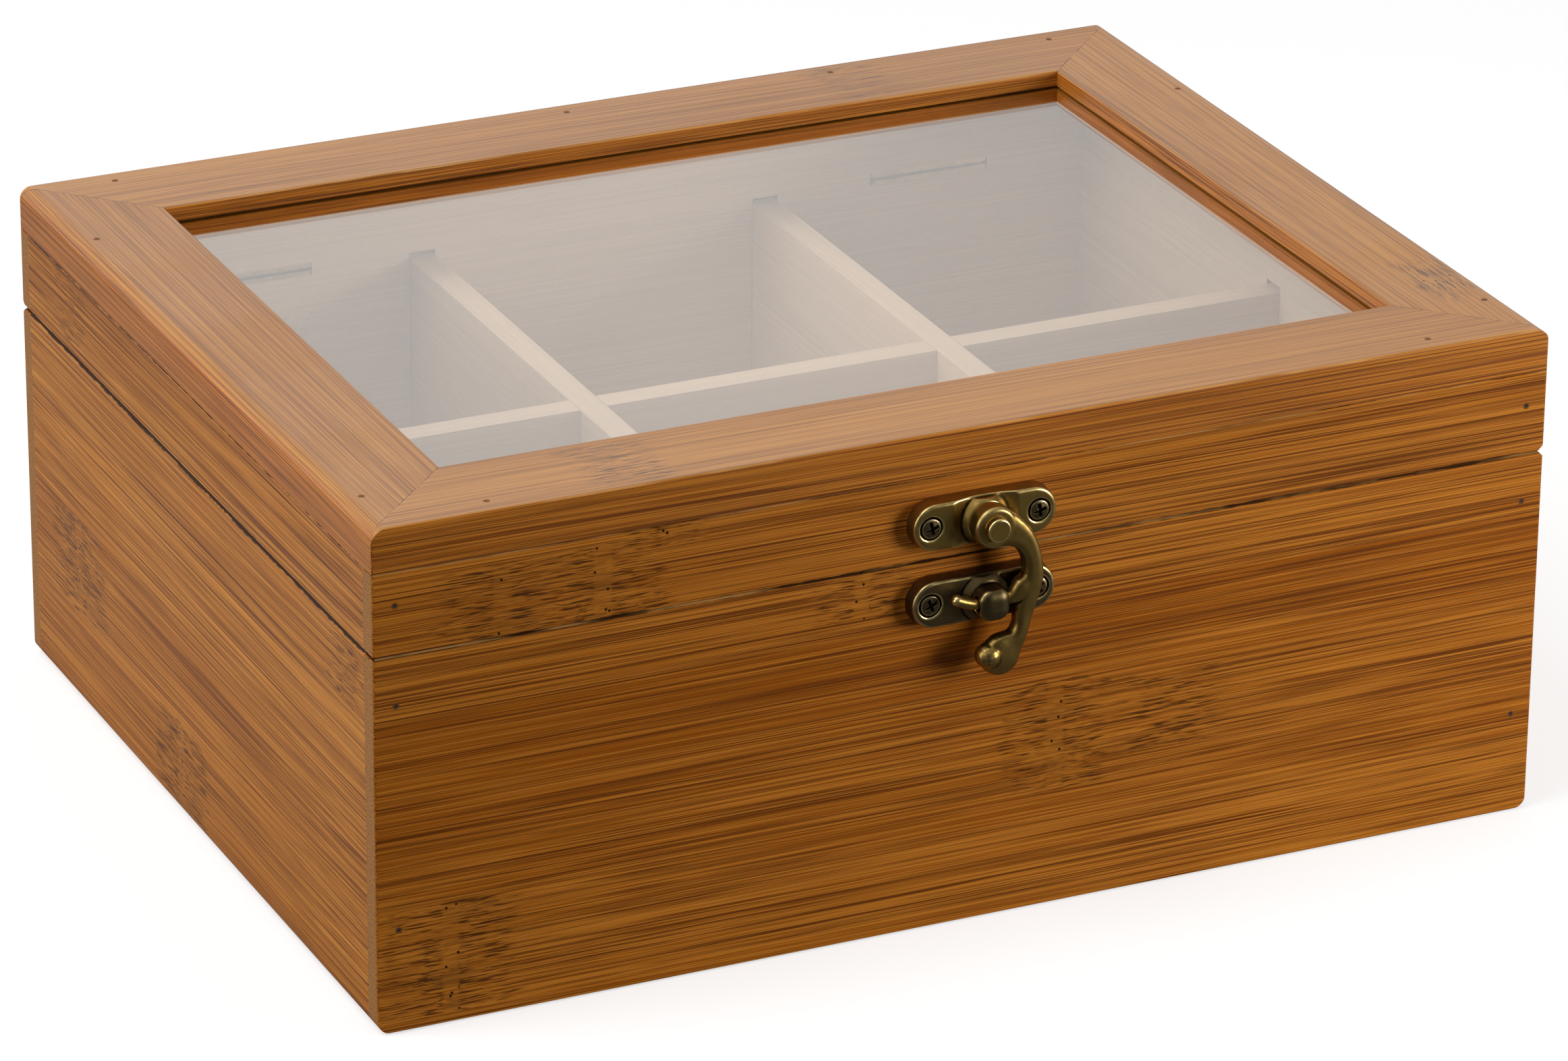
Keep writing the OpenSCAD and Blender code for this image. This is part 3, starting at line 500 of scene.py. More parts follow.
@dataclass(frozen=True)
class BambooFinish:
    """Bamboo, stained outside or natural, with a satin lacquer."""

    light: Colour = (0.68, 0.240, 0.026)
    mid: Colour = (0.395, 0.106, 0.004)
    dark: Colour = (0.145, 0.033, 0.001)
    burnt: Colour = (0.060, 0.016, 0.002)
    smeared: Colour = (0.160, 0.062, 0.012)
    end_wood: Colour = (0.400, 0.185, 0.060)
    # the dark of the mitre and glue joints, and the painted shade along the split
    dark_joint_and_split_shade: Colour = (0.020, 0.006, 0.001)
    # the pale of the arrises, part wear and part painted highlight
    wear_and_highlight: Colour = (0.80, 0.42, 0.13)
    natural: Colour = (0.75, 0.575, 0.41)
    natural_dark: Colour = (0.58, 0.42, 0.26)
    seam_depth: float = 0.92
    glue_line: float = 0.07 * MM
    # the width of the split's line of painted shade
    split_shade_line: float = 0.26 * MM
    contrast: float = 0.9
    top_contrast: float | None = None
    roughness: float = 0.40
    specular: float = 0.12
    coat: float = 0.0
    coat_roughness: float = 0.28
    relief: float = 0.06 * MM
    stained: bool = True
    mitred: bool = False

    def material(
        self, library: ShaderLibrary, name: str, grain: Grain, seed: float,
        knuckles: Sequence[Knuckle],
    ) -> Material:
        """Builds the material of one board.

        Args:
            library: The shared node groups.
            name: The material's name.
            grain: Which way the fibres run.
            seed: A number of its own, so that no two boards match.
            knuckles: The knuckles that show on it.

        Returns:
            The material.
        """
        material, g, shader = new_material(name)
        coords = g.add("ShaderNodeTexCoord").outputs
        place, normal = coords["Object"], coords["Normal"]
        fibres, mask = self._fibres(g, library, place, grain, seed, knuckles)
        contrast, light, mid = self.contrast, self.light, self.mid
        if self.top_contrast is not None:
            # the upright faces of a rail match the walls below them; its top faces keep paler
            # colours and fainter lines, in part painted sheen
            upright = g.ramp(g.size(g.parts(normal)[2]), 0.75, 0.45)
            more = g.times(upright, self.contrast - self.top_contrast)
            contrast = g.plus(more, self.top_contrast)
            light = g.mix(upright, light, BambooFinish.light)
            mid = g.mix(upright, mid, BambooFinish.mid)
        lines = g.times(fibres["Lines"], contrast)
        smears = g.place(
            library.wipe,
            {"Vector": place, "Clean": self.roughness, "Smeared": self.roughness + 0.1},
        )
        tint = self._natural(g, fibres, lines)
        rough = g.plus(smears["Roughness"], g.times(lines, 0.12))
        if self.stained:
            joints = g.place(
                library.joints,
                {"Vector": place, "Normal": normal, "Mitred": float(self.mitred),
                 "Width": self.glue_line, "Split Shade Width": self.split_shade_line},
            )
            outside = self._stained(g, fibres, lines, mask, light, mid)
            outside = self._end_wood(g, place, normal, outside, grain)
            # dark mitre and glue joints, with painted shade along the split
            outside = g.mix(g.times(joints["Mask"], self.seam_depth), outside, self.dark_joint_and_split_shade)
            # paler arrises: wear with a painted highlight
            outside = g.mix(joints["Wear And Highlight"], outside, self.wear_and_highlight)
            tint = g.mix(self._inside(g, place), outside, tint)
            rough = g.plus(rough, g.times(joints["Mask"], 0.5), clamp=True)
        if self.coat:
            # the front and back faces take no second shine
            aside = g.ramp(g.size(g.parts(normal)[1]), 0.8, 0.3)
            g.fill(shader, {"Coat Weight": g.times(aside, self.coat)})
        g.fill(shader, {
            "Base Color": tint, "Roughness": rough, "Specular IOR Level": self.specular,
            "Coat Roughness": self.coat_roughness,
            "Normal": g.bump(fibres["Height"], 0.35, self.relief),
        })
        return material

    @staticmethod
    def _fibres(
        g: Graph, library: ShaderLibrary, place: Socket, grain: Grain, seed: float,
        knuckles: Sequence[Knuckle],
    ) -> tuple[Mapping[str, Socket], Value]:
        """Lays the fibres, with the knuckles among them.

        Args:
            g: The material's Graph.
            library: The shared node groups.
            place: The place on the board.
            grain: Which way the fibres run.
            seed: The board's own number.
            knuckles: The knuckles that show on it.

        Returns:
            The outputs of the fibres, and where the knuckles are.
        """
        turned = g.add(
            "ShaderNodeMapping",
            {"Vector": place, "Rotation": (0.0, 0.0, math.radians(grain.value))},
        ).outputs[0]
        mask: Value = 0.0
        ring: Value = 0.0
        for knuckle in knuckles:
            one = g.place(
                library.knuckle,
                {"Vector": turned, "Centre": knuckle.centre(grain),
                 "Reach": knuckle.reach_mm * MM, "Half Strip": knuckle.half_mm * MM,
                 "Strength": knuckle.strength},
            )
            mask, ring = g.most(mask, one["Mask"]), g.most(ring, one["Ring"])
        fibres = g.place(
            library.fibres, {"Vector": turned, "Seed": seed, "Knuckle": mask, "Ring": ring}
        )
        return fibres, mask

    def _stained(
        self, g: Graph, fibres: Mapping[str, Socket], lines: Socket, mask: Value, light: Value,
        mid: Value,
    ) -> Socket:
        """The lacquered outside: caramel, with dark bundles and burnt knuckles.

        Args:
            g: The material's Graph.
            fibres: The outputs of the fibres.
            lines: How dark the bundles are.
            mask: Where the knuckles are.
            light: The palest tone.
            mid: The middle tone.

        Returns:
            The colour's socket.
        """
        tone = g.mix(g.ramp(fibres["Tone"], 0.25, 0.75), mid, light)
        tone = g.mix(g.times(fibres["Glints"], 0.55), tone, light)
        tone = g.mix(lines, tone, self.dark)
        scorch = g.most(g.times(mask, 0.12), g.times(fibres["Smear"], 0.38))
        tone = g.mix(scorch, tone, self.smeared)
        tone = g.mix(g.times(fibres["Dashes"], 0.85), tone, self.burnt)
        return g.mix(fibres["Pits"], tone, toned(self.burnt, 0.3))

    def _natural(self, g: Graph, fibres: Mapping[str, Socket], lines: Socket) -> Socket:
        """The bare inside: pale, with soft lines."""
        tone = g.ramp(fibres["Tone"], 0.3, 0.7)
        tint = g.mix(tone, self.natural, toned(self.natural, 0.9))
        return g.mix(g.times(lines, 0.4), tint, self.natural_dark)

    def _end_wood(
        self, g: Graph, place: Socket, normal: Socket, tint: Socket, grain: Grain
    ) -> Socket:
        """Speckled wood where the fibres end at the surface.

        Args:
            g: The material's Graph.
            place: The place on the board.
            normal: The way that its surface looks.
            tint: The colour elsewhere.
            grain: Which way the fibres run.

        Returns:
            The colour's socket.
        """
        axis = 0 if grain is Grain.ALONG_X else 1
        across = g.ramp(g.size(g.parts(normal)[axis]), 0.75, 0.95)
        dots = g.ramp(g.noise(place, 3000.0, 1.0), 0.52, 0.60)
        return g.mix(across, tint, g.mix(dots, self.end_wood, toned(self.end_wood, 0.55)))

    @staticmethod
    def _inside(g: Graph, place: Socket) -> Socket:
        """Tells the faces that look into the box from the outer ones.

        Args:
            g: The material's Graph.
            place: The place on the board.

        Returns:
            The socket of a mask, 1 inside and 0 outside.
        """
        x, y, z = g.parts(g.vector("ABSOLUTE", place))
        wide, deep = HALF_WIDTH - WALL, HALF_DEPTH - WALL
        within = g.times(
            g.ramp(x, wide + 0.2 * MM, wide + 0.1 * MM), g.ramp(y, deep + 0.2 * MM, deep + 0.1 * MM)
        )
        return g.times(within, g.ramp(z, GLUE + 0.5 * MM, GLUE + 0.3 * MM))


@dataclass(frozen=True)
class BrassFinish:
    """Brass, antiqued or bright."""

    hollow: Colour
    face: Colour
    rubbed: Colour
    relief: float = 0.03 * MM

    def material(self, library: ShaderLibrary, name: str, curved: bool) -> Material:
        """Builds the material.

        Args:
            library: The shared node groups.
            name: The material's name.
            curved: Whether the mesh has the "curve" and "open" values of mark_shape.

        Returns:
            The material.
        """
        material, g, shader = new_material(name)
        patina = g.place(
            library.patina,
            {"Vector": g.add("ShaderNodeTexCoord").outputs["Object"],
             "Curve": g.attribute("curve") if curved else 0.0,
             "Rise": g.attribute("open") if curved else 0.5,
             "Hollow": self.hollow, "Face": self.face, "Rubbed": self.rubbed},
        )
        g.fill(shader, {
            "Base Color": patina["Color"], "Roughness": patina["Roughness"], "Metallic": 1.0,
            "Normal": g.bump(patina["Height"], 0.5, self.relief),
        })
        return material


@dataclass(frozen=True)
class GlassFinish:
    """The pane: it mirrors the room strongly, and lets the lamps in."""

    tint: Colour = (0.99, 0.955, 0.905)
    dust: Colour = (0.8, 0.8, 0.78)
    # higher than float glass, for the strong pale reflection that half hides the inside
    ior: float = 2.05

    def material(self, library: ShaderLibrary, name: str) -> Material:
        """Builds the material.

        Args:
            library: The shared node groups.
            name: The material's name.

        Returns:
            The material.
        """
        material, g, shader = new_material(name)
        place = g.add("ShaderNodeTexCoord").outputs["Object"]
        smears = g.place(library.wipe, {"Vector": place, "Clean": 0.0, "Smeared": 0.03})
        shadow = g.add("ShaderNodeLightPath").outputs["Is Shadow Ray"]
        g.fill(shader, {
            "Base Color": g.mix(g.times(smears["Dust"], 0.05), self.tint, self.dust),
            "Roughness": smears["Roughness"], "Transmission Weight": 1.0, "IOR": self.ior,
            "Alpha": g.minus(1.0, g.times(shadow, 0.9)),
        })
        return material


@dataclass(frozen=True)
class BradFinish:
    """Steel wire whose punched head is hidden under brown filler."""

    filler: Colour = (0.035, 0.014, 0.005)
    rim: Colour = (0.230, 0.078, 0.009)
    steel: Colour = (0.30, 0.28, 0.26)
    relief: float = 0.06 * MM

    def material(self, name: str) -> Material:
        """Builds the material once, which reads the brads' "filler" and "core" values.

        Args:
            name: The material's name.

        Returns:
            The material.
        """
        if name in bpy.data.materials:
            return bpy.data.materials[name]
        material, g, shader = new_material(name)
        crumbs = g.noise(g.add("ShaderNodeTexCoord").outputs["Object"], 3500.0, 2.0, 0.6)
        filled = g.attribute("filler")
        dark = g.mix(g.ramp(crumbs, 0.4, 0.65), self.filler, toned(self.filler, 1.9))
        dark = g.mix(g.attribute("core"), self.rim, dark)
        wire = g.mix(g.ramp(crumbs, 0.45, 0.6), self.steel, toned(self.steel, 0.6))
        g.fill(shader, {
            "Base Color": g.mix(filled, wire, dark), "Metallic": g.minus(1.0, filled),
            "Roughness": g.ramp(filled, 0.0, 1.0, 0.4, 0.85),
            "Normal": g.bump(crumbs, 0.6, self.relief),
        })
        return material


FRONT_BAMBOO = BambooFinish()
# the side boards are paler and less saturated than the front: painted sheen of the lacquer
SIDE_BAMBOO = BambooFinish(
    light=(0.68, 0.265, 0.032), mid=(0.405, 0.126, 0.006), specular=0.6, seam_depth=0.95,
    glue_line=0.14 * MM, split_shade_line=0.44 * MM,
)
# the rails' tops are paler and yellower with fainter lines than the walls, in part painted sheen of
# the lacquer
RAIL_BAMBOO = BambooFinish(
    light=(0.71, 0.295, 0.042), mid=(0.430, 0.148, 0.011), contrast=0.85, top_contrast=0.5,
    specular=0.2, coat=0.65, mitred=True,
)
INNER_BAMBOO = BambooFinish(stained=False, contrast=0.5, roughness=0.55, specular=0.35)

# each brass by the colours of its hollows, its faces and its rubbed edges
ANTIQUE = BrassFinish((0.030, 0.018, 0.004), (0.32, 0.205, 0.055), (0.84, 0.64, 0.27))
AGED = BrassFinish((0.016, 0.011, 0.006), (0.150, 0.105, 0.045), (0.76, 0.58, 0.25))
BRONZED = BrassFinish((0.008, 0.006, 0.004), (0.150, 0.108, 0.050), (0.66, 0.53, 0.30))
BRIGHT = BrassFinish((0.45, 0.36, 0.18), (0.80, 0.68, 0.42), (0.90, 0.80, 0.55))

WALL_FILLER = BradFinish()
RAIL_FILLER = BradFinish(filler=(0.150, 0.072, 0.030), rim=(0.36, 0.150, 0.045))


# ---------- Meshes ----------


def show(name: str, mesh: Mesh) -> Object:
    """Puts a mesh into the scene as an object at the origin."""
    piece = bpy.data.objects.new(name, mesh)
    bpy.context.scene.collection.objects.link(piece)
    return piece


def plain_mesh(piece: Object) -> Mesh:
    """The mesh that a piece's modifiers make, as a mesh of its own."""
    graph = bpy.context.evaluated_depsgraph_get()
    return bpy.data.meshes.new_from_object(piece.evaluated_get(graph), depsgraph=graph)


def write_values(mesh: Mesh, name: str, values: Sequence) -> None:
    """Gives each vertex a number, or a vector, under a name.

    Args:
        mesh: The mesh.
        name: The name that a material or a tree reads.
        values: One number, or three, for each vertex.
    """
    flat = np.asarray(values, np.float32)
    vectors = flat.ndim == 2
    layer = mesh.attributes.new(name, "FLOAT_VECTOR" if vectors else "FLOAT", "POINT")
    layer.data.foreach_set("vector" if vectors else "value", flat.ravel())


def mark_shape(mesh: Mesh, blur: int = 3, spread: int = 60) -> None:
    """Writes how each vertex stands out of, or lies in, the shape round it.

    Args:
        mesh: The mesh, dense and even.
        blur: Rounds of smoothing for "curve", the bend in turns per millimetre.
        spread: Rounds for "open", 0 deep in a hollow and 1 on the open faces.
    """
    count = len(mesh.vertices)
    place = np.empty(count * 3)
    mesh.vertices.foreach_get("co", place)
    place = place.reshape(-1, 3) / MM
    normal = np.empty(count * 3, np.float32)
    mesh.vertex_normals.foreach_get("vector", normal)
    normal = normal.reshape(-1, 3)
    ends = np.empty(len(mesh.edges) * 2, np.int32)
    mesh.edges.foreach_get("vertices", ends)
    a, b = ends.reshape(-1, 2).T
    degree = np.maximum(np.bincount(a, minlength=count) + np.bincount(b, minlength=count), 1)

    def around(value: np.ndarray) -> np.ndarray:
        """The mean of each vertex's neighbours."""
        value = value.reshape(count, -1)
        total = np.stack(
            [np.bincount(a, value[b, k], count) + np.bincount(b, value[a, k], count)
             for k in range(value.shape[1])], axis=1,
        )
        return total / degree[:, None]

    step = np.mean(np.sum((place[a] - place[b]) ** 2, axis=1))
    bend = -2.0 * np.sum((around(place) - place) * normal, axis=1) / step
    for _ in range(blur):
        bend = 0.4 * bend + 0.6 * around(bend)[:, 0]
    wide = place.copy()
    for _ in range(spread):
        wide = around(wide)
    deep = np.sum((place - wide) * normal, axis=1)
    write_values(mesh, "curve", bend)
    write_values(mesh, "open", np.clip(0.5 + deep * 1.6, 0.0, 1.0))


def softened_copy(node: str, name: str, voxel_mm: float, passes: int) -> Object:
    """Copies a cast CAD piece with the soft edges that casting and tumbling leave.

    Args:
        node: The CAD node.
        name: The new piece's name.
        voxel_mm: Size of the new mesh's faces.
        passes: Rounds of smoothing.

    Returns:
        The piece, smooth shaded, with the values of mark_shape.
    """
    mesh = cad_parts[node].data.copy()
    work = bmesh.new()
    work.from_mesh(mesh)
    bmesh.ops.remove_doubles(work, verts=work.verts, dist=1e-6)
    work.to_mesh(mesh)
    work.free()
    piece = show(name, mesh)
    remesh = piece.modifiers.new("Even faces", "REMESH")
    remesh.mode = "VOXEL"
    remesh.voxel_size = voxel_mm * MM
    remesh.use_smooth_shade = True
    soften = piece.modifiers.new("Tumbled edges", "SMOOTH")
    soften.factor = 0.5
    soften.iterations = passes
    piece.data = plain_mesh(piece)
    piece.modifiers.clear()
    piece.data.shade_smooth()
    mark_shape(piece.data)
    return piece


def turned_mesh(
    name: str, rings: Sequence[tuple[float, float]], sides: int,
    height: Callable[[float, float], float] = lambda x, y: 0.0,
) -> Mesh:
    """A closed shape turned about Z, whose face at Z = 0 may follow a height.

    Args:
        name: The mesh's name.
        rings: Radius and Z of each ring, from the tip of the shank to the face's middle.
        sides: Points round each ring.
        height: What is added to Z at a place X, Y on the face.

    Returns:
        The mesh, with its normals outwards.
    """
    work = bmesh.new()
    loops = []
    for radius, z in rings:
        loop = []
        for k in range(sides):
            a = 2 * math.pi * k / sides
            x, y = radius * math.cos(a), radius * math.sin(a)
            loop.append(work.verts.new((x, y, z + (height(x, y) if z > -1e-6 else 0.0))))
        loops.append(loop)
    for low, high in zip(loops, loops[1:]):
        for k in range(sides):
            work.faces.new((low[k], low[(k + 1) % sides], high[(k + 1) % sides], high[k]))
    work.faces.new(list(reversed(loops[0])))
    middle = work.verts.new((0, 0, rings[-1][1] + height(0.0, 0.0)))
    for k in range(sides):
        work.faces.new((loops[-1][k], loops[-1][(k + 1) % sides], middle))
    bmesh.ops.recalc_face_normals(work, faces=work.faces)
    mesh = bpy.data.meshes.new(name)
    work.to_mesh(mesh)
    work.free()
    mesh.shade_smooth()
    return mesh


@dataclass
class Fastener:
    """One fastener's place: the middle of its face, its side, and its own turn."""

    place: Triple
    side: Side
    turn_deg: float = 0.0

    def euler(self) -> Triple:
        """The rotation that stands it on its side after its own turn."""
        spin = Matrix.Rotation(math.radians(self.turn_deg), 3, "Z")
        stand = Matrix.Rotation(math.radians(self.side.value), 3, "X")
        return tuple((stand @ spin).to_euler())


class FastenerSetter:
    """The Geometry Nodes tree that sets one fastener at every marked point."""

    def __init__(self) -> None:
        """Builds the tree."""
        self.tree = self._tree()

    @staticmethod
    def _tree() -> NodeTree:
        """Points to instances, real meshes, and their material.

        Returns:
            The tree.
        """
        tree = bpy.data.node_groups.new("Set Fasteners", "GeometryNodeTree")
        for name, way, kind in (
            ("Points", "INPUT", "Geometry"), ("Fastener", "INPUT", "Object"),
            ("Size", "INPUT", "Float"), ("Finish", "INPUT", "Material"),
            ("Geometry", "OUTPUT", "Geometry"),
        ):
            tree.interface.new_socket(name=name, in_out=way, socket_type=f"NodeSocket{kind}")
        g = Graph(tree)
        given = {s.name: s for s in tree.nodes.new("NodeGroupInput").outputs if s.name}
        end = tree.nodes.new("NodeGroupOutput")
        pattern = g.add("GeometryNodeObjectInfo", {"Object": given["Fastener"]})
        turn = g.add("GeometryNodeInputNamedAttribute", {"Name": "turn"}, data_type="FLOAT_VECTOR")
        points = g.add("GeometryNodeMeshToPoints", {"Mesh": given["Points"]})
        copies = g.add(
            "GeometryNodeInstanceOnPoints",
            {"Points": points.outputs[0], "Instance": pattern.outputs["Geometry"],
             "Rotation": turn.outputs["Attribute"], "Scale": given["Size"]},
        )
        real = g.add("GeometryNodeRealizeInstances", {"Geometry": copies.outputs[0]})
        painted = g.add(
            "GeometryNodeSetMaterial", {"Geometry": real.outputs[0], "Material": given["Finish"]}
        )
        g.fill(end, {"Geometry": painted.outputs[0]})
        return tree

    def set(
        self, name: str, fasteners: Sequence[Fastener], pattern: Mesh, finish: Material
    ) -> Object:
        """Sets the fasteners and makes them one plain mesh.

        Args:
            name: The piece's name.
            fasteners: Their places.
            pattern: The mesh of one, its face in the XY plane and its shank along -Z.
            finish: Their material.

        Returns:
            The piece.
        """
        points = bpy.data.meshes.new(name + ".points")
        points.from_pydata([f.place for f in fasteners], [], [])
        write_values(points, "turn", [f.euler() for f in fasteners])
        pattern.materials.append(finish)
        model = show(name + ".pattern", pattern)
        piece = show(name, points)
        modifier = piece.modifiers.new("Set fasteners", "NODES")
        modifier.node_group = self.tree
        values = {"Fastener": model, "Size": 1.0, "Finish": finish}
        for item in self.tree.interface.items_tree:
            if item.name in values:
                modifier[item.identifier] = values[item.name]
        piece.data = plain_mesh(piece)
        piece.modifiers.clear()
        bpy.data.objects.remove(model)
        return piece


@dataclass
class CrossScrew:
    """A countersunk screw with a cross recess, its face at Z = 0."""

    head_d: float = 3.6 * MM
    shank_d: float = 2.0 * MM
    length: float = 8.7 * MM
    rim: float = 0.25 * MM
    dome: float = 0.26 * MM
    recess: float = 0.75 * MM
    pitch: float = 0.8 * MM
    arm_share: float = 0.34
    slot_share: float = 0.080
    soft: float = 0.11 * MM
    burr: float = 0.03 * MM
    sides: int = 112
    face_rings: int = 46

    def _within(self, value: float, limit: float) -> float:
        """1 inside the limit, 0 outside, with a soft step."""
        t = min(1.0, max(0.0, (limit + self.soft / 2 - abs(value)) / self.soft))
        return t * t * (3 - 2 * t)

    def _height(self, x: float, y: float) -> float:
        """The face: a low dome, a rounded rim and the cross recess.

        Args:
            x: The place across the face.
            y: The place along it.

        Returns:
            The height there.
        """
        r = math.hypot(x, y) / (self.head_d / 2)
        arm, half = self.head_d * self.arm_share, self.head_d * self.slot_share
        cross = max(self._within(a, arm) * self._within(b, half) for a, b in ((x, y), (y, x)))
        deep = 1.0 - 0.55 * min(1.0, math.hypot(x, y) / arm)
        edge = max(0.0, 1 - abs(max(abs(x), abs(y)) - arm) / (0.3 * MM))
        return (
            self.dome * (1 - r * r) - self.recess * cross * deep + self.burr * edge * (1 - cross)
        )

    def mesh(self, name: str) -> Mesh:
        """Builds the screw.

        Args:
            name: The mesh's name.

        Returns:
            The mesh, with the values "curve" and "open" for the patina.
        """
        head, shank = self.head_d / 2, self.shank_d / 2
        neck = -self.rim - (head - shank)
        rings: list[tuple[float, float]] = [(0.12 * MM, -self.length)]
        turns = int((self.length + neck - 1.2 * MM) / self.pitch * 4)
        for k in range(turns + 1):
            z = -self.length + 1.1 * MM + k * self.pitch / 4
            if z < neck:
                rings.append((shank * (0.97 if k % 4 in (0, 1) else 0.74), z))
        rings += [
            (shank, neck), (head, -self.rim), (head, -0.10 * MM), (head - 0.03 * MM, -0.03 * MM),
        ]
        flat = head - 0.10 * MM
        rings += [(flat * (1 - k / self.face_rings), 0.0) for k in range(self.face_rings)]
        mesh = turned_mesh(name, rings, self.sides, self._height)
        curve, clear = [], []
        for x, y, z in (vertex.co for vertex in mesh.vertices):
            r = math.hypot(x, y)
            lost = self.dome * (1 - (r / head) ** 2) - z
            rim = max(0.0, 1 - abs(r - head + 0.16 * MM) / (0.2 * MM))
            curve.append(1.1 * rim if z > -0.05 * MM and lost < 0.1 * MM else 0.0)
            clear.append(0.9 if lost < 0.06 * MM else 0.0)
        write_values(mesh, "curve", curve)
        write_values(mesh, "open", clear)
        return mesh


@dataclass
class Brad:
    """A wire nail punched below the surface and filled, the surface at Z = 0."""

    diameter: float = 1.2 * MM
    length: float = 16.0 * MM
    set_depth: float = 0.03 * MM
    sides: int = 20

    def mesh(self, name: str) -> Mesh:
        """Builds the nail.

        Args:
            name: The mesh's name.

        Returns:
            The mesh, with the values "filler", 1 on its cap, and "core", 1 in its middle.
        """
        r = self.diameter / 2
        cap = -self.set_depth
        rings = [
            (r * 0.25, -self.length), (r, -self.length + 1.4 * MM), (r, cap - 0.4 * MM),
            (r, cap - 0.02 * MM), (r * 0.98, cap), (r * 0.90, cap + 0.01 * MM), (r * 0.72, cap),
            (r * 0.62, cap - 0.02 * MM), (r * 0.25, cap - 0.05 * MM),
        ]
        mesh = turned_mesh(name, rings, self.sides)
        places = [tuple(vertex.co) for vertex in mesh.vertices]
        write_values(mesh, "filler", [float(z > cap - 0.2 * MM) for _, _, z in places])
        write_values(mesh, "core", [float(math.hypot(x, y) < 0.7 * r) for x, y, _ in places])
        return mesh


def dress(node: str, material: Material) -> None:
    """Gives a CAD node its material and reports it."""
    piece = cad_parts[node]
    piece.data.materials.clear()
    piece.data.materials.append(material)
    LOG.info("%s dressed with %s", node, material.name)


def stand_in(piece: Object, body: str, slot: str, *nodes: str) -> None:
    """Makes a piece stand for CAD nodes and ride on a body.

    Args:
        piece: The finished piece.
        body: The body that it rides on.
        slot: Its material slot; not used.
        *nodes: The CAD nodes that it stands for.
    """
    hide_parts(*nodes)
    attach(piece, body)
    LOG.info("%s stands for %s, %d faces", piece.name, ", ".join(nodes), len(piece.data.polygons))


# ---------- The box ----------


@dataclass(frozen=True)
class Board:
    """One board: its CAD node, its fibres' way and seed, its finish and knuckles."""

    node: str
    grain: Grain
    seed: float
    finish: BambooFinish
    knuckles: tuple[Knuckle, ...] = ()

    def dress(self, library: ShaderLibrary) -> None:
        """Gives the board its own bamboo."""
        dress(self.node, self.finish.material(
            library, f"Bamboo {self.node}", self.grain, self.seed, self.knuckles
        ))


def corner_places(turns: Mapping[float, float]) -> list[Fastener]:
    """The brads that hold the corners, seen on the front and on the back.

    Args:
        turns: Height of each brad of a corner, to its own turn in degrees.

    Returns:
        Their places.
    """
    return [
        Fastener((x * (HALF_WIDTH - BRAD_IN), y * HALF_DEPTH, z),
                 Side.FRONT if y < 0 else Side.BACK, turn)
        for y in (-1, 1) for x in (-1, 1) for z, turn in turns.items()
    ]


@dataclass
class Body:
    """The lower half: four walls, the bottom, the dividers and their brads."""

    low_brad: float = 19 * MM
    high_brad: float = 60 * MM
    boards: tuple[Board, ...] = (
        Board("front_panel", Grain.ALONG_X, 3.1, FRONT_BAMBOO, (
            Knuckle(-96.7, -85, 12.0, 15, 10.5), Knuckle(15.5, -85, 32.0, 12.5, 10.5),
            Knuckle(-21.5, -85, 66.0, 11, 6.0, 0.9), Knuckle(38, -85, 33.0, 20, 8.0, 0.28),
        )),
        Board("back_panel", Grain.ALONG_X, 8.4, FRONT_BAMBOO, (
            Knuckle(-58, 85, 52, 15, 9.5), Knuckle(71, 85, 26, 14, 9.5),
            Knuckle(6, 85, 9, 14, 8.0),
        )),
        Board("left_panel", Grain.ALONG_Y, 5.7, SIDE_BAMBOO, (
            Knuckle(-110, 7, 9.5, 16, 9.0), Knuckle(-110, 58, 28, 17, 9.5, 0.9),
            Knuckle(-110, -72, 62, 10, 6.0, 0.45),
        )),
        Board("right_panel", Grain.ALONG_Y, 1.9, SIDE_BAMBOO, (
            Knuckle(110, -31, 50, 14, 9.5), Knuckle(110, 48, 17, 15, 9.5),
        )),
        Board("bottom_board", Grain.ALONG_X, 12.2, INNER_BAMBOO),
        Board("long_divider", Grain.ALONG_X, 14.8, INNER_BAMBOO),
        Board("cross_divider_left", Grain.ALONG_Y, 16.1, INNER_BAMBOO),
        Board("cross_divider_right", Grain.ALONG_Y, 18.6, INNER_BAMBOO),
    )

    def build(self, library: ShaderLibrary, setter: FastenerSetter) -> None:
        """Dresses the boards and sets the brads of the corner joints.

        Args:
            library: The shared node groups.
            setter: The tree that sets the brads.
        """
        for board in self.boards:
            board.dress(library)
        places = corner_places({self.low_brad: 0.0, self.high_brad: 40.0})
        finish = WALL_FILLER.material("Filled brads")
        piece = setter.set("corner_brads", places, Brad().mesh("Corner brad"), finish)
        stand_in(piece, "box", "steel", "body_brads")


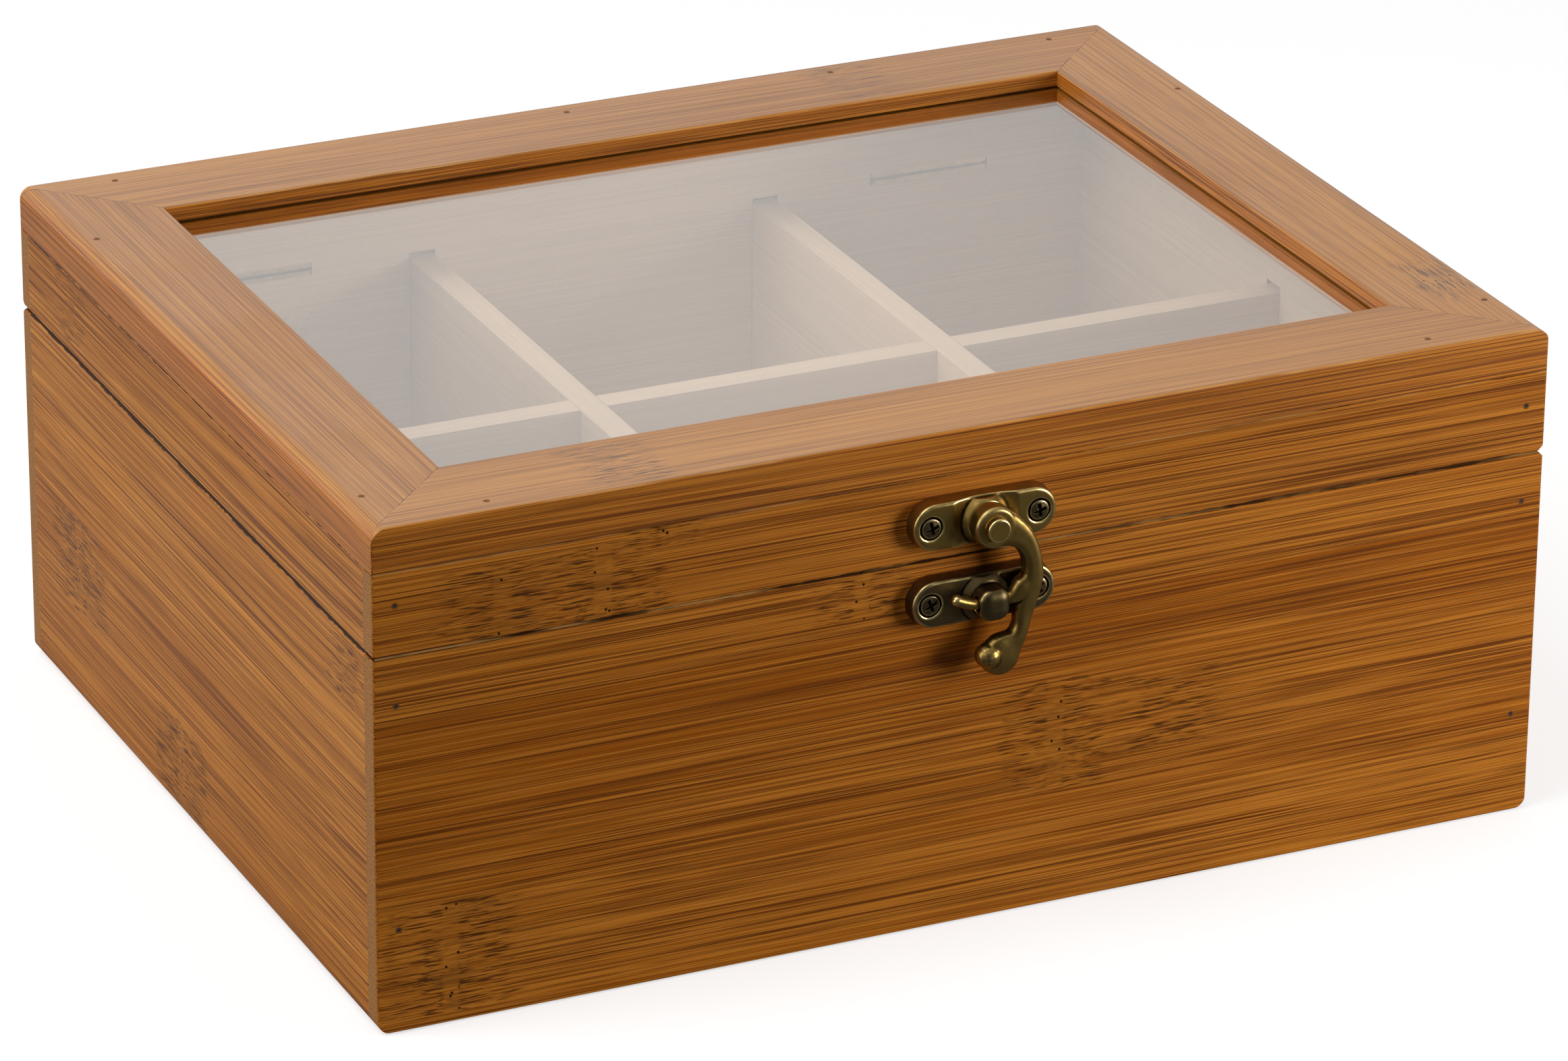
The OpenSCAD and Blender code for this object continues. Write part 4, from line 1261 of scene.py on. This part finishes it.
@dataclass
class Lid:
    """The upper half: four low walls, the mitred rails, the pane and the brads."""

    wall_brad: float = 78 * MM
    rail_brads_mm: tuple[tuple[float, float], ...] = (
        (-88, -81), (88, -81),  # front rail
        (-93, 81), (-4, 81), (50, 81), (96, 81),  # back rail
        (-106, -71), (-106, 55),  # left rail
        (106, -69), (106, 47),  # right rail
    )
    boards: tuple[Board, ...] = (
        Board("lid_front_wall", Grain.ALONG_X, 22.3, FRONT_BAMBOO, (
            Knuckle(-69, -85, 75, 15, 7.5), Knuckle(-87, -85, 75, 15, 7.5, 0.7),
            Knuckle(-57, -85, 82.5, 9, 2.2, 0.8),
        )),
        Board("lid_back_wall", Grain.ALONG_X, 25.9, FRONT_BAMBOO, (Knuckle(34, 85, 76, 13, 8.0),)),
        Board("lid_left_wall", Grain.ALONG_Y, 27.2, SIDE_BAMBOO, (
            Knuckle(-110, 60, 78, 12, 7.0, 0.3),
        )),
        Board("lid_right_wall", Grain.ALONG_Y, 29.5, SIDE_BAMBOO, (
            Knuckle(110, 20, 76, 13, 8.0, 0.8),
        )),
        Board("front_rail", Grain.ALONG_X, 32.4, RAIL_BAMBOO, (
            Knuckle(-62, -75, 92, 12, 9.0, 0.35),
        )),
        Board("back_rail", Grain.ALONG_X, 35.1, RAIL_BAMBOO, (Knuckle(52, 75, 92, 12, 9.0, 0.3),)),
        Board("left_rail", Grain.ALONG_Y, 37.7, RAIL_BAMBOO),
        Board("right_rail", Grain.ALONG_Y, 39.3, RAIL_BAMBOO, (
            Knuckle(103, -57, 92, 13, 5.0, 0.75),
        )),
    )

    def build(self, library: ShaderLibrary, setter: FastenerSetter) -> None:
        """Dresses the boards and the pane, and sets the brads of walls and rails.

        Args:
            library: The shared node groups.
            setter: The tree that sets the brads.
        """
        for board in self.boards:
            board.dress(library)
        dress("glass_pane", GlassFinish().material(library, "Pane glass"))
        places = corner_places({self.wall_brad: 25.0})
        finish = WALL_FILLER.material("Filled brads")
        piece = setter.set("lid_corner_brads", places, Brad().mesh("Lid brad"), finish)
        stand_in(piece, "lid", "steel", "lid_wall_brads")
        places = [
            Fastener((x * MM, y * MM, TOP), Side.UP, 15.0 * i)
            for i, (x, y) in enumerate(self.rail_brads_mm)
        ]
        finish = RAIL_FILLER.material("Filled rail brads")
        pattern = Brad(length=12 * MM).mesh("Rail brad")
        piece = setter.set("rail_top_brads", places, pattern, finish)
        stand_in(piece, "lid", "steel", "rail_brads")


@dataclass
class Hinges:
    """Two small butt hinges let into the back edge."""

    inset: float = 41 * MM
    axis_y: float = 83.85 * MM
    screw_x: float = 7.2 * MM
    screw_y: float = 4.3 * MM
    half_gap: float = 0.3 * MM

    def build(self, library: ShaderLibrary, setter: FastenerSetter) -> None:
        """Dresses the leaves and pins, and sets four screws in each pair of leaves.

        Args:
            library: The shared node groups.
            setter: The tree that sets the screws.
        """
        brass = BRIGHT.material(library, "Hinge brass", curved=False)
        for node in ("hinge_leaf_body_left", "hinge_leaf_body_right",
                     "hinge_leaf_lid_left", "hinge_leaf_lid_right"):
            dress(node, brass)
        dress("hinge_pins", BRONZED.material(library, "Hinge pin steel", curved=False))
        screw = CrossScrew(
            head_d=3.0 * MM, shank_d=1.6 * MM, length=8.5 * MM, dome=0.2 * MM, recess=0.6 * MM
        )
        finish = BRIGHT.material(library, "Hinge screw brass", curved=True)
        for name, node, body, side, sign in (
            ("body_hinge_screws", "hinge_screws_body", "box", Side.UP, -1),
            ("lid_hinge_screws", "hinge_screws_lid", "lid", Side.DOWN, 1),
        ):
            places = [
                Fastener((s * (HALF_WIDTH - self.inset) + x * self.screw_x,
                          self.axis_y - self.screw_y, SPLIT + sign * self.half_gap),
                         side, 33.0 * s + 21.0 * x)
                for s in (-1, 1) for x in (-1, 1)
            ]
            piece = setter.set(name, places, screw.mesh("Hinge screw"), finish)
            stand_in(piece, body, "hinge_brass", node)


@dataclass
class SwingLatch:
    """The cast latch: lid plate, rivet, swinging arm, keeper plate and screws."""

    pivot_z: float = 76.1 * MM
    keeper_z: float = 61.94 * MM
    screw_x: float = 10.1 * MM
    screw_out: float = 2.9 * MM

    def build(self, library: ShaderLibrary, setter: FastenerSetter) -> None:
        """Makes the cast pieces, and sets two cross-head screws in each plate.

        Args:
            library: The shared node groups.
            setter: The tree that sets the screws.
        """
        brass = ANTIQUE.material(library, "Antique brass", curved=True)
        aged = AGED.material(library, "Aged brass", curved=True)
        for name, node, body, metal, voxel_mm, passes in (
            ("cast_latch_plate", "latch_plate", "lid", brass, 0.13, 18),
            ("cast_latch_arm", "latch_arm", "latch_arm", brass, 0.13, 22),
            ("cast_keeper_plate", "keeper_plate", "box", aged, 0.13, 16),
            ("peened_rivet", "latch_rivet", "lid", brass, 0.09, 5),
        ):
            piece = softened_copy(node, name, voxel_mm, passes)
            piece.data.materials.clear()
            piece.data.materials.append(metal)
            stand_in(piece, body, "antique_brass", node)
        finish = BRONZED.material(library, "Bronzed screws", curved=True)
        for name, node, body, z, turns in (
            ("lid_plate_screws", "latch_plate_screws", "lid", self.pivot_z, (12.0, 8.0)),
            ("keeper_plate_screws", "keeper_screws", "box", self.keeper_z, (20.0, 31.0)),
        ):
            places = [
                Fastener((x * self.screw_x, -HALF_DEPTH - self.screw_out, z), Side.FRONT, turn)
                for x, turn in zip((-1, 1), turns)
            ]
            piece = setter.set(name, places, CrossScrew().mesh("Plate screw"), finish)
            stand_in(piece, body, "dark_steel", node)


# ---------- The studio ----------


@dataclass(frozen=True)
class Lamp:
    """One square softbox that faces the box."""

    name: str
    place: Triple
    side: float
    watts: float

    def hang(self, target: Triple) -> None:
        """Adds the lamp, unseen by the camera.

        Args:
            target: Where it points.
        """
        data = bpy.data.lights.new(self.name, "AREA")
        data.shape = "RECTANGLE"
        data.size = data.size_y = self.side
        data.energy = self.watts
        lamp = bpy.data.objects.new(self.name, data)
        bpy.context.scene.collection.objects.link(lamp)
        at = Vector(self.place)
        turn = (Vector(target) - at).to_track_quat("-Z", "Y")
        lamp.matrix_world = Matrix.Translation(at) @ turn.to_matrix().to_4x4()
        lamp.visible_camera = False


@dataclass
class Studio:
    """Pale floor, soft lamps, a graded white room and the photograph's camera."""

    camera_at: Triple = (-0.52784, -1.14049, 0.58665)
    azimuth_deg: float = 24.981
    elevation_deg: float = 23.546
    roll_deg: float = 0.529
    lens_mm: float = 175.12
    ambient: float = 0.48
    front_shade: float = 0.06
    right_shade: float = 0.74
    floor_half: float = 4.0
    floor_z: float = -0.2 * MM
    lamps: tuple[Lamp, ...] = (
        Lamp("Key softbox", (-0.72, -0.10, 1.38), 0.7, 5.7),
        Lamp("Left softbox", (-1.3, 0.1, 0.4), 0.8, 7.4),
        Lamp("Right softbox", (0.46, -0.48, 0.16), 0.25, 2.5),
    )
    target: Triple = (0.0, 0.0, 0.045)

    def build(self) -> None:
        """Makes the camera, the room, the floor and the lamps."""
        bpy.context.scene.view_settings.view_transform = "Standard"
        self._camera()
        self._room()
        self._floor()
        for lamp in self.lamps:
            lamp.hang(self.target)
        LOG.info("studio built")

    def _camera(self) -> None:
        """The camera that was fitted to the photograph's corners."""
        azimuth, elevation = math.radians(self.azimuth_deg), math.radians(self.elevation_deg)
        forward = Vector((
            math.sin(azimuth) * math.cos(elevation), math.cos(azimuth) * math.cos(elevation),
            -math.sin(elevation),
        ))
        data = bpy.data.cameras.new("Camera")
        data.lens = self.lens_mm
        data.sensor_width = 36.0
        data.clip_start, data.clip_end = 0.05, 50.0
        camera = bpy.data.objects.new("Camera", data)
        bpy.context.scene.collection.objects.link(camera)
        turn = forward.to_track_quat("-Z", "Y").to_matrix() @ Matrix.Rotation(
            math.radians(self.roll_deg), 3, "Z"
        )
        camera.matrix_world = Matrix.Translation(self.camera_at) @ turn.to_4x4()
        bpy.context.scene.camera = camera

    def _room(self) -> None:
        """White to the camera; to the object, white behind and darker in front."""
        world = bpy.data.worlds.new("Room")
        world.use_nodes = True
        bpy.context.scene.world = world
        g = Graph(world.node_tree)
        way = g.add("ShaderNodeTexCoord").outputs["Generated"]
        behind = g.add(
            "ShaderNodeVectorMath", {0: way, 1: (-0.28, 0.80, 0.53)}, operation="DOT_PRODUCT"
        ).outputs["Value"]
        shade = g.ramp(behind, -0.55, 0.55, self.front_shade, 1.0)
        shade = g.times(shade, g.ramp(g.parts(way)[0], 0.37, 0.50, 1.0, self.right_shade))
        path = g.add("ShaderNodeLightPath").outputs
        mirror = g.most(path["Is Glossy Ray"], path["Is Transmission Ray"])
        level = g.plus(self.ambient, g.times(mirror, 1.0 - self.ambient))
        g.fill(world.node_tree.nodes["Background"], {
            "Color": WHITE, "Strength": g.most(g.times(level, shade), path["Is Camera Ray"]),
        })

    def _floor(self) -> None:
        """A floor that is white to the camera, keeps the shadow and bounces little.

        To the object it is darker in front, as with a black card laid before it.
        """
        half, z = self.floor_half, self.floor_z
        mesh = bpy.data.meshes.new("Floor")
        mesh.from_pydata(
            [(-half, -half, z), (half, -half, z), (half, half, z), (-half, half, z)],
            [], [(0, 1, 2, 3)],
        )
        floor = show("Floor", mesh)
        material, g, shader = new_material("Floor")
        along = g.parts(g.add("ShaderNodeTexCoord").outputs["Object"])[1]
        g.fill(shader, {
            "Base Color": g.mix(
                g.ramp(along, -0.22, 0.12), toned(WHITE, 0.10), toned(WHITE, 0.42)
            ),
            "Roughness": 0.9, "Specular IOR Level": 0.0,
        })
        pale = g.add("ShaderNodeBsdfDiffuse", {"Color": toned(WHITE, 0.60)})
        glow = g.add("ShaderNodeEmission", {"Color": WHITE, "Strength": 0.62})
        seen = g.add("ShaderNodeAddShader", {0: pale.outputs[0], 1: glow.outputs[0]})
        path = g.add("ShaderNodeLightPath").outputs
        direct = g.most(path["Is Camera Ray"], path["Is Transmission Ray"])
        mixed = g.add(
            "ShaderNodeMixShader", {0: direct, 1: shader.outputs[0], 2: seen.outputs[0]}
        )
        out = next(n for n in material.node_tree.nodes if n.type == "OUTPUT_MATERIAL")
        g.fill(out, {"Surface": mixed.outputs[0]})
        mesh.materials.append(material)


def main() -> None:
    """Builds and dresses everything in order."""
    logging.basicConfig(level=logging.INFO, format="%(name)s: %(message)s")
    Studio().build()
    library, setter = ShaderLibrary(), FastenerSetter()
    for assembly in (Body(), Lid(), Hinges(), SwingLatch()):
        assembly.build(library, setter)


if __name__ == "__main__":
    main()
